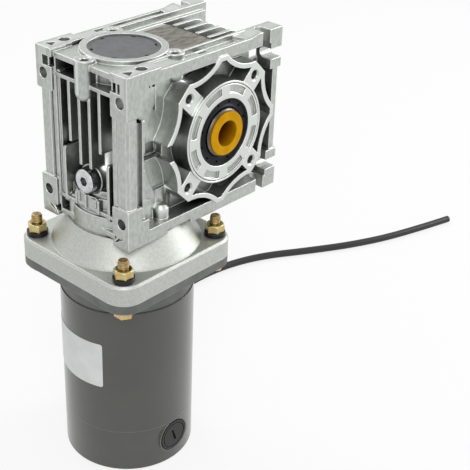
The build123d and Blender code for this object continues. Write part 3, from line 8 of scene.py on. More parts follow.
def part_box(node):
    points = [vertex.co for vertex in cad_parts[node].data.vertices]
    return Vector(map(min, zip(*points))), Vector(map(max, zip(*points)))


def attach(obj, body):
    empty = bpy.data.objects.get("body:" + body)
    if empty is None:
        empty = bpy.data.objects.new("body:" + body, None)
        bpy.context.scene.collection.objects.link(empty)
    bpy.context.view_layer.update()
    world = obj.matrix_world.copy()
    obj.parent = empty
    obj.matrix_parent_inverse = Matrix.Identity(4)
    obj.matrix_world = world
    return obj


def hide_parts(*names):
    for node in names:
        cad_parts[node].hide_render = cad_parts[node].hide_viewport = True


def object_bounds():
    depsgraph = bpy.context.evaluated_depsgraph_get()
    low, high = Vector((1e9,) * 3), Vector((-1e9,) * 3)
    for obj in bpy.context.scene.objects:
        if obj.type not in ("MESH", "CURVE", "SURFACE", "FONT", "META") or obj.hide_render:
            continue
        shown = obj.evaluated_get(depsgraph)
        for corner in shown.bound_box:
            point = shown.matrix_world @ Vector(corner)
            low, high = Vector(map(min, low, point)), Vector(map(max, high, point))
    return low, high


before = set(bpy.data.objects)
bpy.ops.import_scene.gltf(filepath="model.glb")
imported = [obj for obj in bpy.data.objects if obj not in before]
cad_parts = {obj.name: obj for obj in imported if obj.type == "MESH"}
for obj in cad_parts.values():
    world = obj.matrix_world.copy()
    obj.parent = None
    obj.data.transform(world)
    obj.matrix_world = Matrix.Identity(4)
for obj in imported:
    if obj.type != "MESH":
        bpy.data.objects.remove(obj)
cad_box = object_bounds()

# Camera: a long lens, a little above the gearbox, that looks at its front left corner.
# Azimuth and elevation are the direction from the object to the camera. The roll is the photograph's tilt.
camera_azimuth = math.radians(-49.27)
camera_elevation = math.radians(29.55)
camera_roll = math.radians(2.42)
camera_place = Vector((-0.41672, -0.40807, 0.24997))
camera_back = Vector(
    (
        math.sin(camera_azimuth) * math.cos(camera_elevation),
        -math.cos(camera_azimuth) * math.cos(camera_elevation),
        math.sin(camera_elevation),
    )
)
level_right = Vector((math.cos(camera_azimuth), math.sin(camera_azimuth), 0))
level_up = camera_back.cross(level_right)
camera_right = math.cos(camera_roll) * level_right + math.sin(camera_roll) * level_up
camera_up = math.cos(camera_roll) * level_up - math.sin(camera_roll) * level_right
camera = bpy.data.objects.new("camera", bpy.data.cameras.new("camera"))
camera.data.lens = 83.04
camera.data.sensor_width = 36.0
turned = Matrix((camera_right, camera_up, camera_back)).transposed().to_4x4()
camera.matrix_world = Matrix.Translation(camera_place) @ turned
bpy.context.scene.collection.objects.link(camera)
bpy.context.scene.camera = camera
bpy.context.scene.view_settings.view_transform = "Standard"

# Studio: a pale seamless floor under the motor, a white room and three soft lamps.
# Camera and glossy rays see a white room, and the floor keeps a faint shadow.


def colour(code):
    """An sRGB hex colour as linear red, green, blue and alpha."""
    parts = [int(code[start : start + 2], 16) / 255 for start in (1, 3, 5)]
    return (*[part / 12.92 if part < 0.04045 else ((part + 0.055) / 1.055) ** 2.4 for part in parts], 1)


def add_node(tree, kind, inputs=None, **settings):
    """Adds one node. Settings are its options. Inputs hold socket values, or the sockets that feed them."""
    made = tree.nodes.new(kind)
    for name, value in settings.items():
        setattr(made, name, value)
    for name, value in (inputs or {}).items():
        if isinstance(value, bpy.types.NodeSocket):
            tree.links.new(value, made.inputs[name])
        else:
            made.inputs[name].default_value = value
    return made


def new_material(name, **sockets):
    """A material, its tree and its one principled shader. Sockets are named with _ for a space."""
    material = bpy.data.materials.new(name)
    material.use_nodes = True
    shader = material.node_tree.nodes["Principled BSDF"]
    for socket, value in sockets.items():
        shader.inputs[socket.replace("_", " ")].default_value = value
    return material, material.node_tree, shader


floor_half_side, floor_gap, floor_glow = 6.0, 0.0002, 0.8
floor_mesh = bpy.data.meshes.new("floor")
shape = bmesh.new()
bmesh.ops.create_grid(shape, x_segments=1, y_segments=1, size=floor_half_side)
bmesh.ops.translate(shape, vec=(0, 0, cad_box[0].z - floor_gap), verts=shape.verts)
shape.to_mesh(floor_mesh)
shape.free()
floor = bpy.data.objects.new("floor", floor_mesh)
bpy.context.scene.collection.objects.link(floor)
floor_paper, tree, shader = new_material("floor_paper", Roughness=0.9)
shader.inputs["Base Color"].default_value = colour("#f2f2f2")
rays = add_node(tree, "ShaderNodeLightPath").outputs
seen = add_node(
    tree, "ShaderNodeMath", {0: rays["Is Camera Ray"], 1: rays["Is Glossy Ray"]}, operation="MAXIMUM"
).outputs[0]
share = add_node(tree, "ShaderNodeMath", {0: seen, 1: floor_glow}, operation="MULTIPLY").outputs[0]
glow = add_node(tree, "ShaderNodeEmission", {"Color": (1, 1, 1, 1), "Strength": 1.0})
mixed = add_node(tree, "ShaderNodeMixShader", {0: share, 1: shader.outputs[0], 2: glow.outputs[0]})
tree.links.new(mixed.outputs[0], tree.nodes["Material Output"].inputs["Surface"])
floor.data.materials.append(floor_paper)

unseen_room, seen_room = 0.55, 1.0
world = bpy.data.worlds.new("studio_room")
bpy.context.scene.world = world
world.use_nodes = True
tree = world.node_tree
rays = add_node(tree, "ShaderNodeLightPath").outputs
seen = add_node(
    tree, "ShaderNodeMath", {0: rays["Is Camera Ray"], 1: rays["Is Glossy Ray"]}, operation="MAXIMUM"
).outputs[0]
seen = add_node(
    tree, "ShaderNodeMath", {0: seen, 1: rays["Is Transmission Ray"]}, operation="MAXIMUM"
).outputs[0]
strength = add_node(
    tree, "ShaderNodeMath", {0: seen, 1: seen_room - unseen_room, 2: unseen_room}, operation="MULTIPLY_ADD"
).outputs[0]
room = tree.nodes["Background"]
room.inputs["Color"].default_value = (1, 1, 1, 1)
tree.links.new(strength, room.inputs["Strength"])

# name, place, point that it faces, width and power
for name, place, target, width, power in (
    ("key_lamp", (-0.9, -0.9, 1.1), (0, 0, -0.02), 0.8, 9.0),
    ("side_lamp", (1.2, -0.6, 0.5), (0, 0, -0.08), 0.7, 8.0),
    ("back_lamp", (0.1, 1.1, 1.0), (0, 0, -0.05), 0.8, 5.0),
):
    lamp = bpy.data.lights.new(name, "AREA")
    lamp.shape = "DISK"
    lamp.size = width
    lamp.energy = power
    lamp_object = bpy.data.objects.new(name, lamp)
    lamp_object.location = place
    lamp_object.rotation_euler = (Vector(target) - Vector(place)).to_track_quat("-Z", "Y").to_euler()
    bpy.context.scene.collection.objects.link(lamp_object)


# Supply cord: a round two-core cable in a black rubber sheath, which leaves the rear cap behind the motor.
# It drops to the floor and runs away in loose bends, and its end is cut off plain.
cord_diameter, cord_grain = 0.0058, 0.00055556
cord_points = [
    (-0.014898, 0.025102, -0.196),
    (0.005255, 0.045255, -0.196),
    (0.032, 0.072, -0.2045),
    (0.066, 0.0885, -0.2081),
    (0.106, 0.094, -0.2081),
    (0.147, 0.0925, -0.2081),
    (0.184, 0.081, -0.2081),
    (0.221, 0.0575, -0.2081),
    (0.259, 0.036, -0.2081),
    (0.303, 0.0185, -0.2081),
    (0.3535, 0.0055, -0.2081),
]
cord_curve = bpy.data.curves.new("supply_cord_sheath", "CURVE")
cord_curve.dimensions = "3D"
line = cord_curve.splines.new("NURBS")
line.points.add(len(cord_points) - 1)
for point, place in zip(line.points, cord_points):
    point.co = (*place, 1)
line.order_u = 3
line.use_endpoint_u = True
line.resolution_u = 12
cord_curve.bevel_depth = cord_diameter / 2
cord_curve.bevel_resolution = 6
cord_curve.use_fill_caps = True
supply_cord = bpy.data.objects.new("supply_cord_sheath", cord_curve)
bpy.context.scene.collection.objects.link(supply_cord)
cord_rubber, tree, shader = new_material("cord_rubber", Roughness=0.42)
shader.inputs["Base Color"].default_value = colour("#1d1e20")
places = add_node(tree, "ShaderNodeTexCoord").outputs["Object"]
grain = add_node(tree, "ShaderNodeTexNoise", {"Vector": places, "Scale": 1 / cord_grain, "Detail": 3.0})
bump = add_node(tree, "ShaderNodeBump", {"Strength": 0.15, "Distance": 0.0002, "Height": grain.outputs[0]})
tree.links.new(bump.outputs[0], shader.inputs["Normal"])
cord_curve.materials.append(cord_rubber)
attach(supply_cord, "root")
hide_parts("supply_cord")

# Gearbox housing and side cover: one aluminium alloy, die cast and tumbled, which leaves a soft grey skin.
# The end faces, mounting faces and pilot rings are machined, so they are brighter.
# Hollows get painted shade, the drilled holes painted light, and the edges a painted highlight.


def dress(material, *nodes):
    """Gives these nodes of the frame one material."""
    for name in nodes:
        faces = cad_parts[name].data
        faces.materials.clear()
        faces.materials.append(material)


def grained(name, dark, pale, patch, grit, depth, stretch=(1, 1, 1), **sockets):
    """A material whose colour drifts between two shades in patches, under a fine grain. Sizes are metres."""
    # The real grain is mostly finer than this grit, which is drawn as coarse as it needs to show.
    material, tree, shader = new_material(name, **sockets)
    places = add_node(tree, "ShaderNodeTexCoord").outputs["Object"]
    drawn = add_node(tree, "ShaderNodeMapping", {"Vector": places, "Scale": stretch}).outputs[0]
    clouds = add_node(tree, "ShaderNodeTexNoise", {"Vector": drawn, "Scale": 1 / patch, "Detail": 4.0})
    tint = add_node(tree, "ShaderNodeValToRGB", {"Fac": clouds.outputs[0]})
    dark_stop, pale_stop = 0.35, 0.65
    for stop, place, code in zip(tint.color_ramp.elements, (dark_stop, pale_stop), (dark, pale)):
        stop.position, stop.color = place, colour(code)
    tree.links.new(tint.outputs[0], shader.inputs["Base Color"])
    grains = add_node(tree, "ShaderNodeTexNoise", {"Vector": drawn, "Scale": 1 / grit, "Detail": 2.0})
    bump = add_node(tree, "ShaderNodeBump", {"Strength": 0.3, "Distance": depth, "Height": grains.outputs[0]})
    tree.links.new(bump.outputs[0], shader.inputs["Normal"])
    return material, tree, shader, tint.outputs[0], bump


def paint_hollow_shade(tree, shader, skin, deep, reach, closed=0.3, clear=0.85):
    """Paints shade into a colour where the surface lies in a hollow, darkening it where real shade falls.
    Returns the new colour.
    """
    hollow = add_node(tree, "ShaderNodeAmbientOcclusion", {"Distance": reach}, samples=8).outputs["AO"]
    span = {"Value": hollow, "From Min": closed, "From Max": clear}
    in_the_open = add_node(tree, "ShaderNodeMapRange", span).outputs[0]
    colours = {0: in_the_open, 6: colour(deep), 7: skin}
    shaded = add_node(tree, "ShaderNodeMix", colours, data_type="RGBA").outputs[2]
    tree.links.new(shaded, shader.inputs["Base Color"])
    return shaded


def paint_edge_highlights(tree, shader, skin, bump, edge, radius):
    """Rounds the edges for the light, and paints a highlight along them in a paler colour."""
    rounded = add_node(tree, "ShaderNodeBevel", {"Radius": radius}, samples=6).outputs[0]
    tree.links.new(rounded, bump.inputs["Normal"])
    straight = add_node(tree, "ShaderNodeNewGeometry").outputs["True Normal"]
    agree = add_node(
        tree, "ShaderNodeVectorMath", {0: rounded, 1: straight}, operation="DOT_PRODUCT"
    ).outputs["Value"]
    flat, sharp, highlight_share = 0.995, 0.86, 0.75
    span = {"Value": agree, "From Min": flat, "From Max": sharp, "To Max": highlight_share}
    edge_highlight = add_node(tree, "ShaderNodeMapRange", span).outputs[0]
    highlighted = add_node(tree, "ShaderNodeMix", {0: edge_highlight, 6: skin, 7: colour(edge)}, data_type="RGBA").outputs[2]
    tree.links.new(highlighted, shader.inputs["Base Color"])


def level_mask(tree, offset, level, skim, test):
    """A mask that is on where the distance from a middle plane passes or meets a level."""
    distance = add_node(tree, "ShaderNodeMath", {0: offset}, operation="ABSOLUTE").outputs[0]
    return add_node(tree, "ShaderNodeMath", {0: distance, 1: level, 2: skim}, operation=test).outputs[0]


def hole_mask(tree, places, middle, across, radius):
    """A mask that is on near an axis through the middle. Across is 1 in each direction that counts."""
    offset = add_node(tree, "ShaderNodeVectorMath", {0: places, 1: middle}, operation="SUBTRACT").outputs[0]
    sides = add_node(tree, "ShaderNodeVectorMath", {0: offset, 1: across}, operation="MULTIPLY").outputs[0]
    distance = add_node(tree, "ShaderNodeVectorMath", {0: sides}, operation="LENGTH").outputs["Value"]
    return add_node(tree, "ShaderNodeMath", {0: distance, 1: radius}, operation="LESS_THAN").outputs[0]


flange_level, skim = 0.0365, 0.0001
foot_hole, rail_hole, hole_reach, rail_foot = (0, 0.030, 0.035), (0, 0.030, 0), 0.0034, 0.039
housing_low, housing_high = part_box("gearbox_housing")
pilot_level = -housing_low.y
half_length = (housing_high.x - housing_low.x) / 2
cast_skin, tree, shader, skin, bump = grained(
    "die_cast_aluminium", "#adb1ac", "#bec2bd", 0.0016, 0.0007, 0.00016, stretch=(1, 1, 0.5), Metallic=1.0
)
places = add_node(tree, "ShaderNodeTexCoord").outputs["Object"]
along = add_node(tree, "ShaderNodeSeparateXYZ", {"Vector": places}).outputs
middle_x = (housing_low.x + housing_high.x) / 2
from_middle = add_node(tree, "ShaderNodeMath", {0: along["X"], 1: middle_x}, operation="SUBTRACT").outputs[0]
end_faces = level_mask(tree, from_middle, half_length - skim, skim, "GREATER_THAN")
flange_faces = level_mask(tree, along["Y"], flange_level, skim, "COMPARE")
pilot_faces = level_mask(tree, along["Y"], pilot_level - skim, skim, "GREATER_THAN")
machined = add_node(tree, "ShaderNodeMath", {0: end_faces, 1: flange_faces}, operation="MAXIMUM").outputs[0]
machined = add_node(tree, "ShaderNodeMath", {0: machined, 1: pilot_faces}, operation="MAXIMUM").outputs[0]
colours = {0: machined, 6: skin, 7: colour("#d4d8d3")}
bright = add_node(tree, "ShaderNodeMix", colours, data_type="RGBA").outputs[2]
# Painted shade: the colour is darkened in hollows, where real shade falls.
shaded = paint_hollow_shade(tree, shader, bright, "#3b3f3b", 0.020, closed=0.05, clear=0.42)
# Painted light: the drilled holes in the feet and rails are left out of the painted shade and get a pale
# colour, as if lit inside.
mirrored = add_node(tree, "ShaderNodeVectorMath", {0: places}, operation="ABSOLUTE").outputs[0]
in_foot = hole_mask(tree, mirrored, foot_hole, (0, 1, 1), hole_reach)
in_rail = hole_mask(tree, mirrored, rail_hole, (0, 1, 0), hole_reach)
at_rail = add_node(tree, "ShaderNodeMath", {0: along["Z"], 1: rail_foot}, operation="GREATER_THAN").outputs[0]
in_rail = add_node(tree, "ShaderNodeMath", {0: at_rail, 1: in_rail}, operation="MULTIPLY").outputs[0]
drilled = add_node(tree, "ShaderNodeMath", {0: in_foot, 1: in_rail}, operation="MAXIMUM").outputs[0]
colours = {0: drilled, 6: shaded, 7: colour("#c3c7c2")}
painted_hole_light = add_node(tree, "ShaderNodeMix", colours, data_type="RGBA").outputs[2]
# Painted highlight: the edges are lightened.
paint_edge_highlights(tree, shader, painted_hole_light, bump, "#f6f8f5", 0.0009)
finish = add_node(tree, "ShaderNodeMapRange", {"Value": machined, "To Min": 0.40, "To Max": 0.38})
tree.links.new(finish.outputs[0], shader.inputs["Roughness"])
dress(cast_skin, "side_cover")

# The two upper rails are channels: a low outer wall, a floor with a deeper notch, and a thin ridge inside.
# The outer wall rises to full height before the slot at the far end, and the ring's screw boss stands free.


def stand_piece(name, shape, material, body, slot, *stands_for):
    """Turns a bmesh into a finished piece that rides on a body."""
    bmesh.ops.recalc_face_normals(shape, faces=shape.faces)
    mesh = bpy.data.meshes.new(name)
    shape.to_mesh(mesh)
    shape.free()
    mesh.materials.append(material)
    piece = bpy.data.objects.new(name, mesh)
    bpy.context.scene.collection.objects.link(piece)
    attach(piece, body)
    if stands_for:
        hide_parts(*stands_for)


def add_block(shape, low, high):
    """A block between two corners, in millimetres. Returns its vertices."""
    low, high = Vector(low) / 1000, Vector(high) / 1000
    place = Matrix.Translation((low + high) / 2) @ Matrix.Diagonal((*[abs(side) for side in high - low], 1))
    return bmesh.ops.create_cube(shape, size=1.0, matrix=place)["verts"]


def add_cone(shape, place, foot_radius, top_radius, height, sides=40):
    """A closed cone or cylinder about its own Z axis, put in place by a matrix. Returns its vertices."""
    return bmesh.ops.create_cone(
        shape,
        cap_ends=True,
        segments=sides,
        radius1=foot_radius,
        radius2=top_radius,
        depth=height,
        matrix=place,
    )["verts"]


def add_post(shape, foot, radius, height, sides=40):
    """A round post that stands on its foot, in millimetres."""
    middle = Vector((foot[0], foot[1], foot[2] + height / 2)) / 1000
    add_cone(shape, Matrix.Translation(middle), radius / 1000, radius / 1000, height / 1000, sides)


def add_ring(shape, middle, axis, corners, steps):
    """A closed ring: the corners of its section, turned once about an axis through the middle."""
    section = [shape.verts.new(corner) for corner in corners]
    sides = [shape.edges.new(ends) for ends in zip(section, section[1:] + section[:1])]
    bmesh.ops.spin(
        shape,
        geom=[*section, *sides],
        cent=middle,
        axis=axis,
        angle=math.tau,
        steps=steps,
        use_merge=True,
    )


def round_off(shape, what, offset, segments, affect="EDGES"):
    """Rounds edges or corners off."""
    bmesh.ops.bevel(
        shape,
        geom=what,
        offset=offset,
        segments=segments,
        profile=0.5,
        affect=affect,
        material=-1,
    )


def cut_away(shape, cutter):
    """Takes one closed shape out of another, and returns what is left."""
    pair = []
    for name, made in (("stock", shape), ("cutter", cutter)):
        mesh = bpy.data.meshes.new(name)
        made.to_mesh(mesh)
        made.free()
        pair.append(bpy.data.objects.new(name, mesh))
        bpy.context.scene.collection.objects.link(pair[-1])
    stock, tool = pair
    cut = stock.modifiers.new("cut", "BOOLEAN")
    cut.operation, cut.solver, cut.object, cut.use_self = "DIFFERENCE", "EXACT", tool, True
    left = bmesh.new()
    left.from_mesh(stock.evaluated_get(bpy.context.evaluated_depsgraph_get()).to_mesh())
    for used in pair:
        bpy.data.objects.remove(used)
    return left


# Rail sizes are in millimetres: from and to along the rail, then across it and up.
wall_from, wall_to, wall_slant = -47.0, 24.0, 10.6
wall_inner, wall_outer, wall_top, above_rail = 26.0, 37.0, 48.7, 51.0
channel_from, channel_to, channel_slant = -33.0, 21.0, 3.0
channel_inner, channel_outer, channel_floor, channel_top = 26.0, 33.4, 46.6, 49.2
notch_from, notch_to = -12.5, -6.0
notch_inner, notch_outer, notch_floor, notch_top = 26.6, 33.0, 44.6, 47.2
drain_x, drain_y, drain_foot, drain_radius, drain_depth = 15.5, 29.5, 43.6, 0.9, 4.0
boss_x, boss_y, boss_foot, boss_radius, boss_height = -26.0, 24.249, 40.0, 5.2, 14.0
casting, channels, bosses = bmesh.new(), bmesh.new(), bmesh.new()
casting.from_mesh(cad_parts["gearbox_housing"].data)
bmesh.ops.remove_doubles(casting, verts=casting.verts, dist=1e-6)
for side in (-1, 1):
    wall = add_block(
        channels, (wall_from, side * wall_inner, wall_top), (wall_to, side * wall_outer, above_rail)
    )
    for corner in wall:
        if corner.co.x > 0 and corner.co.z * 1000 > (wall_top + above_rail) / 2:
            corner.co.x += wall_slant / 1000
    channel = add_block(
        channels,
        (channel_from, side * channel_inner, channel_floor),
        (channel_to, side * channel_outer, channel_top),
    )
    for corner in channel:
        if corner.co.x > 0 and abs(corner.co.y) * 1000 < (channel_inner + channel_outer) / 2:
            corner.co.x -= channel_slant / 1000
    add_block(
        channels, (notch_from, side * notch_inner, notch_floor), (notch_to, side * notch_outer, notch_top)
    )
    add_post(channels, (drain_x, side * drain_y, drain_foot), drain_radius, drain_depth, sides=16)
    add_post(bosses, (boss_x, side * boss_y, boss_foot), boss_radius, boss_height)
casting = cut_away(casting, cut_away(channels, bosses))

# The mouths of the four front tapped holes and of the three holes in the top ring are countersunk.
# A fine groove runs round the face of the pilot ring. These sizes are in metres.
tap_circle, tap_wide, tap_narrow, tap_sink = 0.0375, 0.0036, 0.0024, 0.0012
ring_x, ring_circle, ring_middle = -0.040, 0.028, 0.04955
ring_wide, ring_narrow, ring_sink = 0.0035, 0.0024, 0.0011
groove_inner, groove_outer, groove_floor, above_pilot = 0.0284, 0.0289, -0.0365, -0.0400
overcut = 0.0001
inward = Matrix.Rotation(math.radians(-90), 4, "X")
mouths, groove = bmesh.new(), bmesh.new()
for quarter in range(4):
    angle = math.radians(45 + 90 * quarter)
    mouth_y = tap_sink / 2 - flange_level - overcut
    mouth = (tap_circle * math.cos(angle), mouth_y, tap_circle * math.sin(angle))
    add_cone(mouths, Matrix.Translation(mouth) @ inward, tap_wide, tap_narrow, tap_sink)
for turn in (180, 60, -60):
    angle = math.radians(turn)
    mouth = (ring_x + ring_circle * math.cos(angle), ring_circle * math.sin(angle), ring_middle)
    add_cone(mouths, Matrix.Translation(mouth), ring_narrow, ring_wide, ring_sink)
casting = cut_away(casting, mouths)
groove_section = [
    (groove_inner, above_pilot, 0),
    (groove_outer, above_pilot, 0),
    (groove_outer, groove_floor, 0),
    (groove_inner, groove_floor, 0),
]
add_ring(groove, (0, 0, 0), (0, 1, 0), groove_section, steps=96)
bmesh.ops.recalc_face_normals(groove, faces=groove.faces)
casting = cut_away(casting, groove)
stand_piece("housing_casting", casting, cast_skin, "root", "cast_aluminium", "gearbox_housing")

# Beside each front post a thin cast plate closes the gap to the rib, with its upper corner rounded off.
# Below the oil plug, short ribs and a block stand on the wall round the lower bearing. Sizes in millimetres.
plate_corner, rib_edge = 0.0022, 0.0005
plate_left, plate_right, plate_foot, plate_top = -64.2, -58.2, -38.5, 21.5
plate_inner, plate_outer = 29.6, 31.4
rib_corners = (
    ((-70.4, 7.5, -37.0), (-66.0, 9.1, -29.0)),
    ((-70.6, -0.4, -37.0), (-67.0, 1.3, -28.2)),
    ((-70.2, -8.2, -34.4), (-66.0, -3.6, -29.2)),
    ((-70.6, -10.9, -37.0), (-65.0, -9.2, -28.6)),
)
plates = bmesh.new()
for side in (-1, 1):
    plate = add_block(
        plates, (plate_left, side * plate_inner, plate_foot), (plate_right, side * plate_outer, plate_top)
    )
    top = {point for point in plate if point.co.x * 1000 > (plate_left + plate_right) / 2 and point.co.z > 0}
    round_off(plates, [edge for edge in plates.edges if top.issuperset(edge.verts)], plate_corner, segments=5)
for low, high in rib_corners:
    rib = set(add_block(plates, low, high))
    round_off(plates, [edge for edge in plates.edges if rib.issuperset(edge.verts)], rib_edge, segments=3)
stand_piece("cast_plates_and_ribs", plates, cast_skin, "root", "cast_aluminium")

# Motor adapter: the same alloy, turned from a casting and then sand blasted, so it is even, pale and matt.
# The blast leaves a fine pitted grain. Its hollows get painted shade, and its edges a painted highlight.
blasted, tree, shader, skin, bump = grained(
    "sand_blasted_aluminium", "#b5b8b2", "#c1c4be", 0.0013, 0.0008, 0.0002, Metallic=0.85, Roughness=0.52
)
shaded = paint_hollow_shade(tree, shader, skin, "#777a75", 0.009, closed=0.2, clear=0.6)
paint_edge_highlights(tree, shader, shaded, bump, "#f0f2ee", 0.0008)
dress(blasted, "motor_adapter")

# Bearing cap: a round polyamide cap, moulded and pressed in over the upper worm bearing.
# Moulding leaves a smooth dark grey face with a low sheen.
cap_plastic, tree, shader, skin, bump = grained(
    "moulded_polyamide", "#4c4e50", "#5a5c5e", 0.004, 0.0006, 0.0001, Roughness=0.42, IOR=1.53
)
# Painted shade in its hollows and a painted highlight on its edges.
paint_edge_highlights(tree, shader, paint_hollow_shade(tree, shader, skin, "#151617", 0.003), bump, "#7a7c7e", 0.0004)
dress(cap_plastic, "bearing_cap")

# Nameplate: a thin plain aluminium plate between the rails.
# Handling has stained it brown and grey in cloudy patches, drawn out along the rails.
stained, tree, shader, skin, bump = grained(
    "stained_plate",
    "#5f5a52",
    "#8d8b82",
    0.0028,
    0.0005,
    0.0001,
    stretch=(0.4, 1, 1),
    Metallic=0.55,
    Roughness=0.45,
)
# Its edges get a painted highlight.
paint_edge_highlights(tree, shader, skin, bump, "#b9b4ae", 0.0003)
dress(stained, "nameplate")

# Oil plug and the plain screws: zinc-plated steel, bright, with a fine grain, and painted shade in the
# sockets.
# The seal under the plug's head is a black nitrile ring, and is dressed with the seals.
zinc, tree, shader, skin, bump = grained(
    "zinc_plated_steel", "#b9bcbd", "#d3d6d6", 0.003, 0.0004, 0.00005, Metallic=1.0, Roughness=0.27
)
# Their edges get a painted highlight.
paint_edge_highlights(tree, shader, paint_hollow_shade(tree, shader, skin, "#5a5d5e", 0.003), bump, "#f2f4f4", 0.0003)
dress(zinc, "oil_plug", "side_cover_screws", "adapter_screws", "through_bolts")

# Seals: moulded black nitrile rubber, faintly bloomed. The output seals show round the shaft on both sides.
# Each has a ring of small pips in its face, drawn black and matt as painted shade, so they show as dark dots.
nitrile, tree, shader, skin, bump = grained(
    "nitrile_rubber", "#0d0f13", "#14161b", 0.003, 0.0004, 0.0001, Roughness=0.45, IOR=1.52
)
shader.inputs["Specular IOR Level"].default_value = 0.18
# The edges get a painted highlight.
paint_edge_highlights(tree, shader, skin, bump, "#3b3f45", 0.0003)
dress(nitrile, "output_seals", "oil_plug_seal", "input_oil_seal", "side_cover_o_ring")
# Painted shade: the pips are drawn nearly black and matt, as they look in shade.
pip_painted_shade, *_ = grained(
    "pip_painted_shade_rubber", "#020203", "#050506", 0.003, 0.0004, 0.0001, Roughness=0.8, Specular_IOR_Level=0.0
)
pip_radius, pip_circle, pip_count, pip_level = 0.00062, 0.0176, 12, 0.0370
pips = bmesh.new()
for side in (-1, 1):
    for turn in range(pip_count):
        angle = math.tau * (turn + 0.5) / pip_count
        spot = Vector((pip_circle * math.cos(angle), side * pip_level, pip_circle * math.sin(angle)))
        bmesh.ops.create_icosphere(pips, subdivisions=2, radius=pip_radius, matrix=Matrix.Translation(spot))
stand_piece("seal_pips", pips, pip_painted_shade, "root", "seal_rubber")

# Bore plug: a hollow polyethylene plug, injection moulded in amber, pushed into the shaft to keep dirt out.
# The plastic lets some light in. Its well gets a brown painted shade, and its rim a glowing painted
# highlight.
amber, tree, shader, skin, bump = grained(
    "moulded_polyethylene", "#be8a00", "#ca9602", 0.006, 0.0007, 0.00008, Roughness=0.42, IOR=1.51
)
shader.inputs["Specular IOR Level"].default_value = 0.05
shader.inputs["Subsurface Weight"].default_value = 0.12
shader.inputs["Subsurface Scale"].default_value = 0.002
paint_edge_highlights(tree, shader, paint_hollow_shade(tree, shader, skin, "#6a3002", 0.014), bump, "#e8ae22", 0.0005)
dress(amber, "bore_plug")

# Steel shafts: alloy steel, turned and ground, lightly oiled, with a fine even grain.
# The worm, the hollow shaft, the motor shaft and its key are of one steel.
ground, tree, shader, skin, bump = grained(
    "ground_steel", "#55504c", "#726e6b", 0.004, 0.0005, 0.00008, Metallic=1.0, Roughness=0.3
)
# The edges get a painted highlight.
paint_edge_highlights(tree, shader, skin, bump, "#c9c9c9", 0.0003)
dress(ground, "wheel_hub", "worm_shaft", "motor_shaft", "motor_shaft_key")

# Bearings: through-hardened steel rings, ground bright.
# Polishing leaves almost no grain, so they mirror what is round them.
race, *_ = grained("bearing_steel", "#b2b4b7", "#c2c4c7", 0.005, 0.0004, 0.00003, Metallic=1.0, Roughness=0.2)
for place in ("output", "worm", "motor"):
    dress(race, f"{place}_bearing_outer_rings", f"{place}_bearing_inner_rings")

# Circlips and brush springs: spring steel, the circlips punched and the springs coiled from wire.
# Both are blackened in a salt bath, which leaves a dark skin with a dull shine.
spring_steel, *_ = grained(
    "blackened_spring_steel", "#2c2d2f", "#46474a", 0.003, 0.0004, 0.00006, Metallic=1.0, Roughness=0.38
)
dress(spring_steel, "bearing_circlips", "brush_springs")

# Worm wheel: a rim of cast tin bronze on the steel hub, with hobbed teeth.
# Its flanks are bright. The dark between the teeth is painted shade, and the edges get a painted highlight.
bronze, tree, shader, skin, bump = grained(
    "tin_bronze", "#a97838", "#c89a52", 0.004, 0.0005, 0.00008, Metallic=1.0, Roughness=0.32
)
paint_edge_highlights(tree, shader, paint_hollow_shade(tree, shader, skin, "#3c2710", 0.004), bump, "#e2c17f", 0.0003)
dress(bronze, "worm_wheel")

# Flange bolts and nuts: M6 steel, zinc plated and yellow passivated: gold, with pink and green in it.
# Each head has a thin washer. The shanks are browner, and rolled threads show where they leave the nuts.
passivated, tree, shader, skin, bump = grained(
    "yellow_passivated_zinc", "#b09a62", "#d0c292", 0.0032, 0.0004, 0.00006, Metallic=1.0, Roughness=0.27
)
film_patch, film_share = 0.0045, 0.6
places = add_node(tree, "ShaderNodeTexCoord").outputs["Object"]
film = add_node(tree, "ShaderNodeTexNoise", {"Vector": places, "Scale": 1 / film_patch, "Detail": 2.0})
film_tint = add_node(tree, "ShaderNodeValToRGB", {"Fac": film.outputs[0]})
first_stop, last_stop = film_tint.color_ramp.elements
first_stop.position, first_stop.color = 0.36, colour("#c99a88")
last_stop.position, last_stop.color = 0.62, colour("#bcc08e")
film_tint.color_ramp.elements.new(0.48).color = colour("#cdb173")
colours = {0: film_share, 6: skin, 7: film_tint.outputs[0]}
filmed = add_node(tree, "ShaderNodeMix", colours, data_type="RGBA").outputs[2]
# Painted shade in the hollows and a painted highlight on the edges of the nuts.
shaded = paint_hollow_shade(tree, shader, filmed, "#3a2a12", 0.004)
paint_edge_highlights(tree, shader, shaded, bump, "#efe3b8", 0.0004)
dress(passivated, "flange_nuts")


def add_thread(shape, foot, axis, side, wall, crest, pitch, turns):
    """A helical ridge on a round wall, along an axis from its foot. A crest inside the wall stands inward."""
    steps, ridge = 20, 0.9 * pitch
    profile = [
        shape.verts.new(foot + side * wall),
        shape.verts.new(foot + side * crest + axis * ridge / 2),
        shape.verts.new(foot + side * wall + axis * ridge),
    ]
    face = shape.faces.new(profile)
    bmesh.ops.spin(
        shape,
        geom=[face, *face.edges, *profile],
        cent=foot,
        axis=axis,
        dvec=axis * pitch / steps,
        angle=math.tau * turns,
        steps=steps * turns,
        use_merge=False,
    )


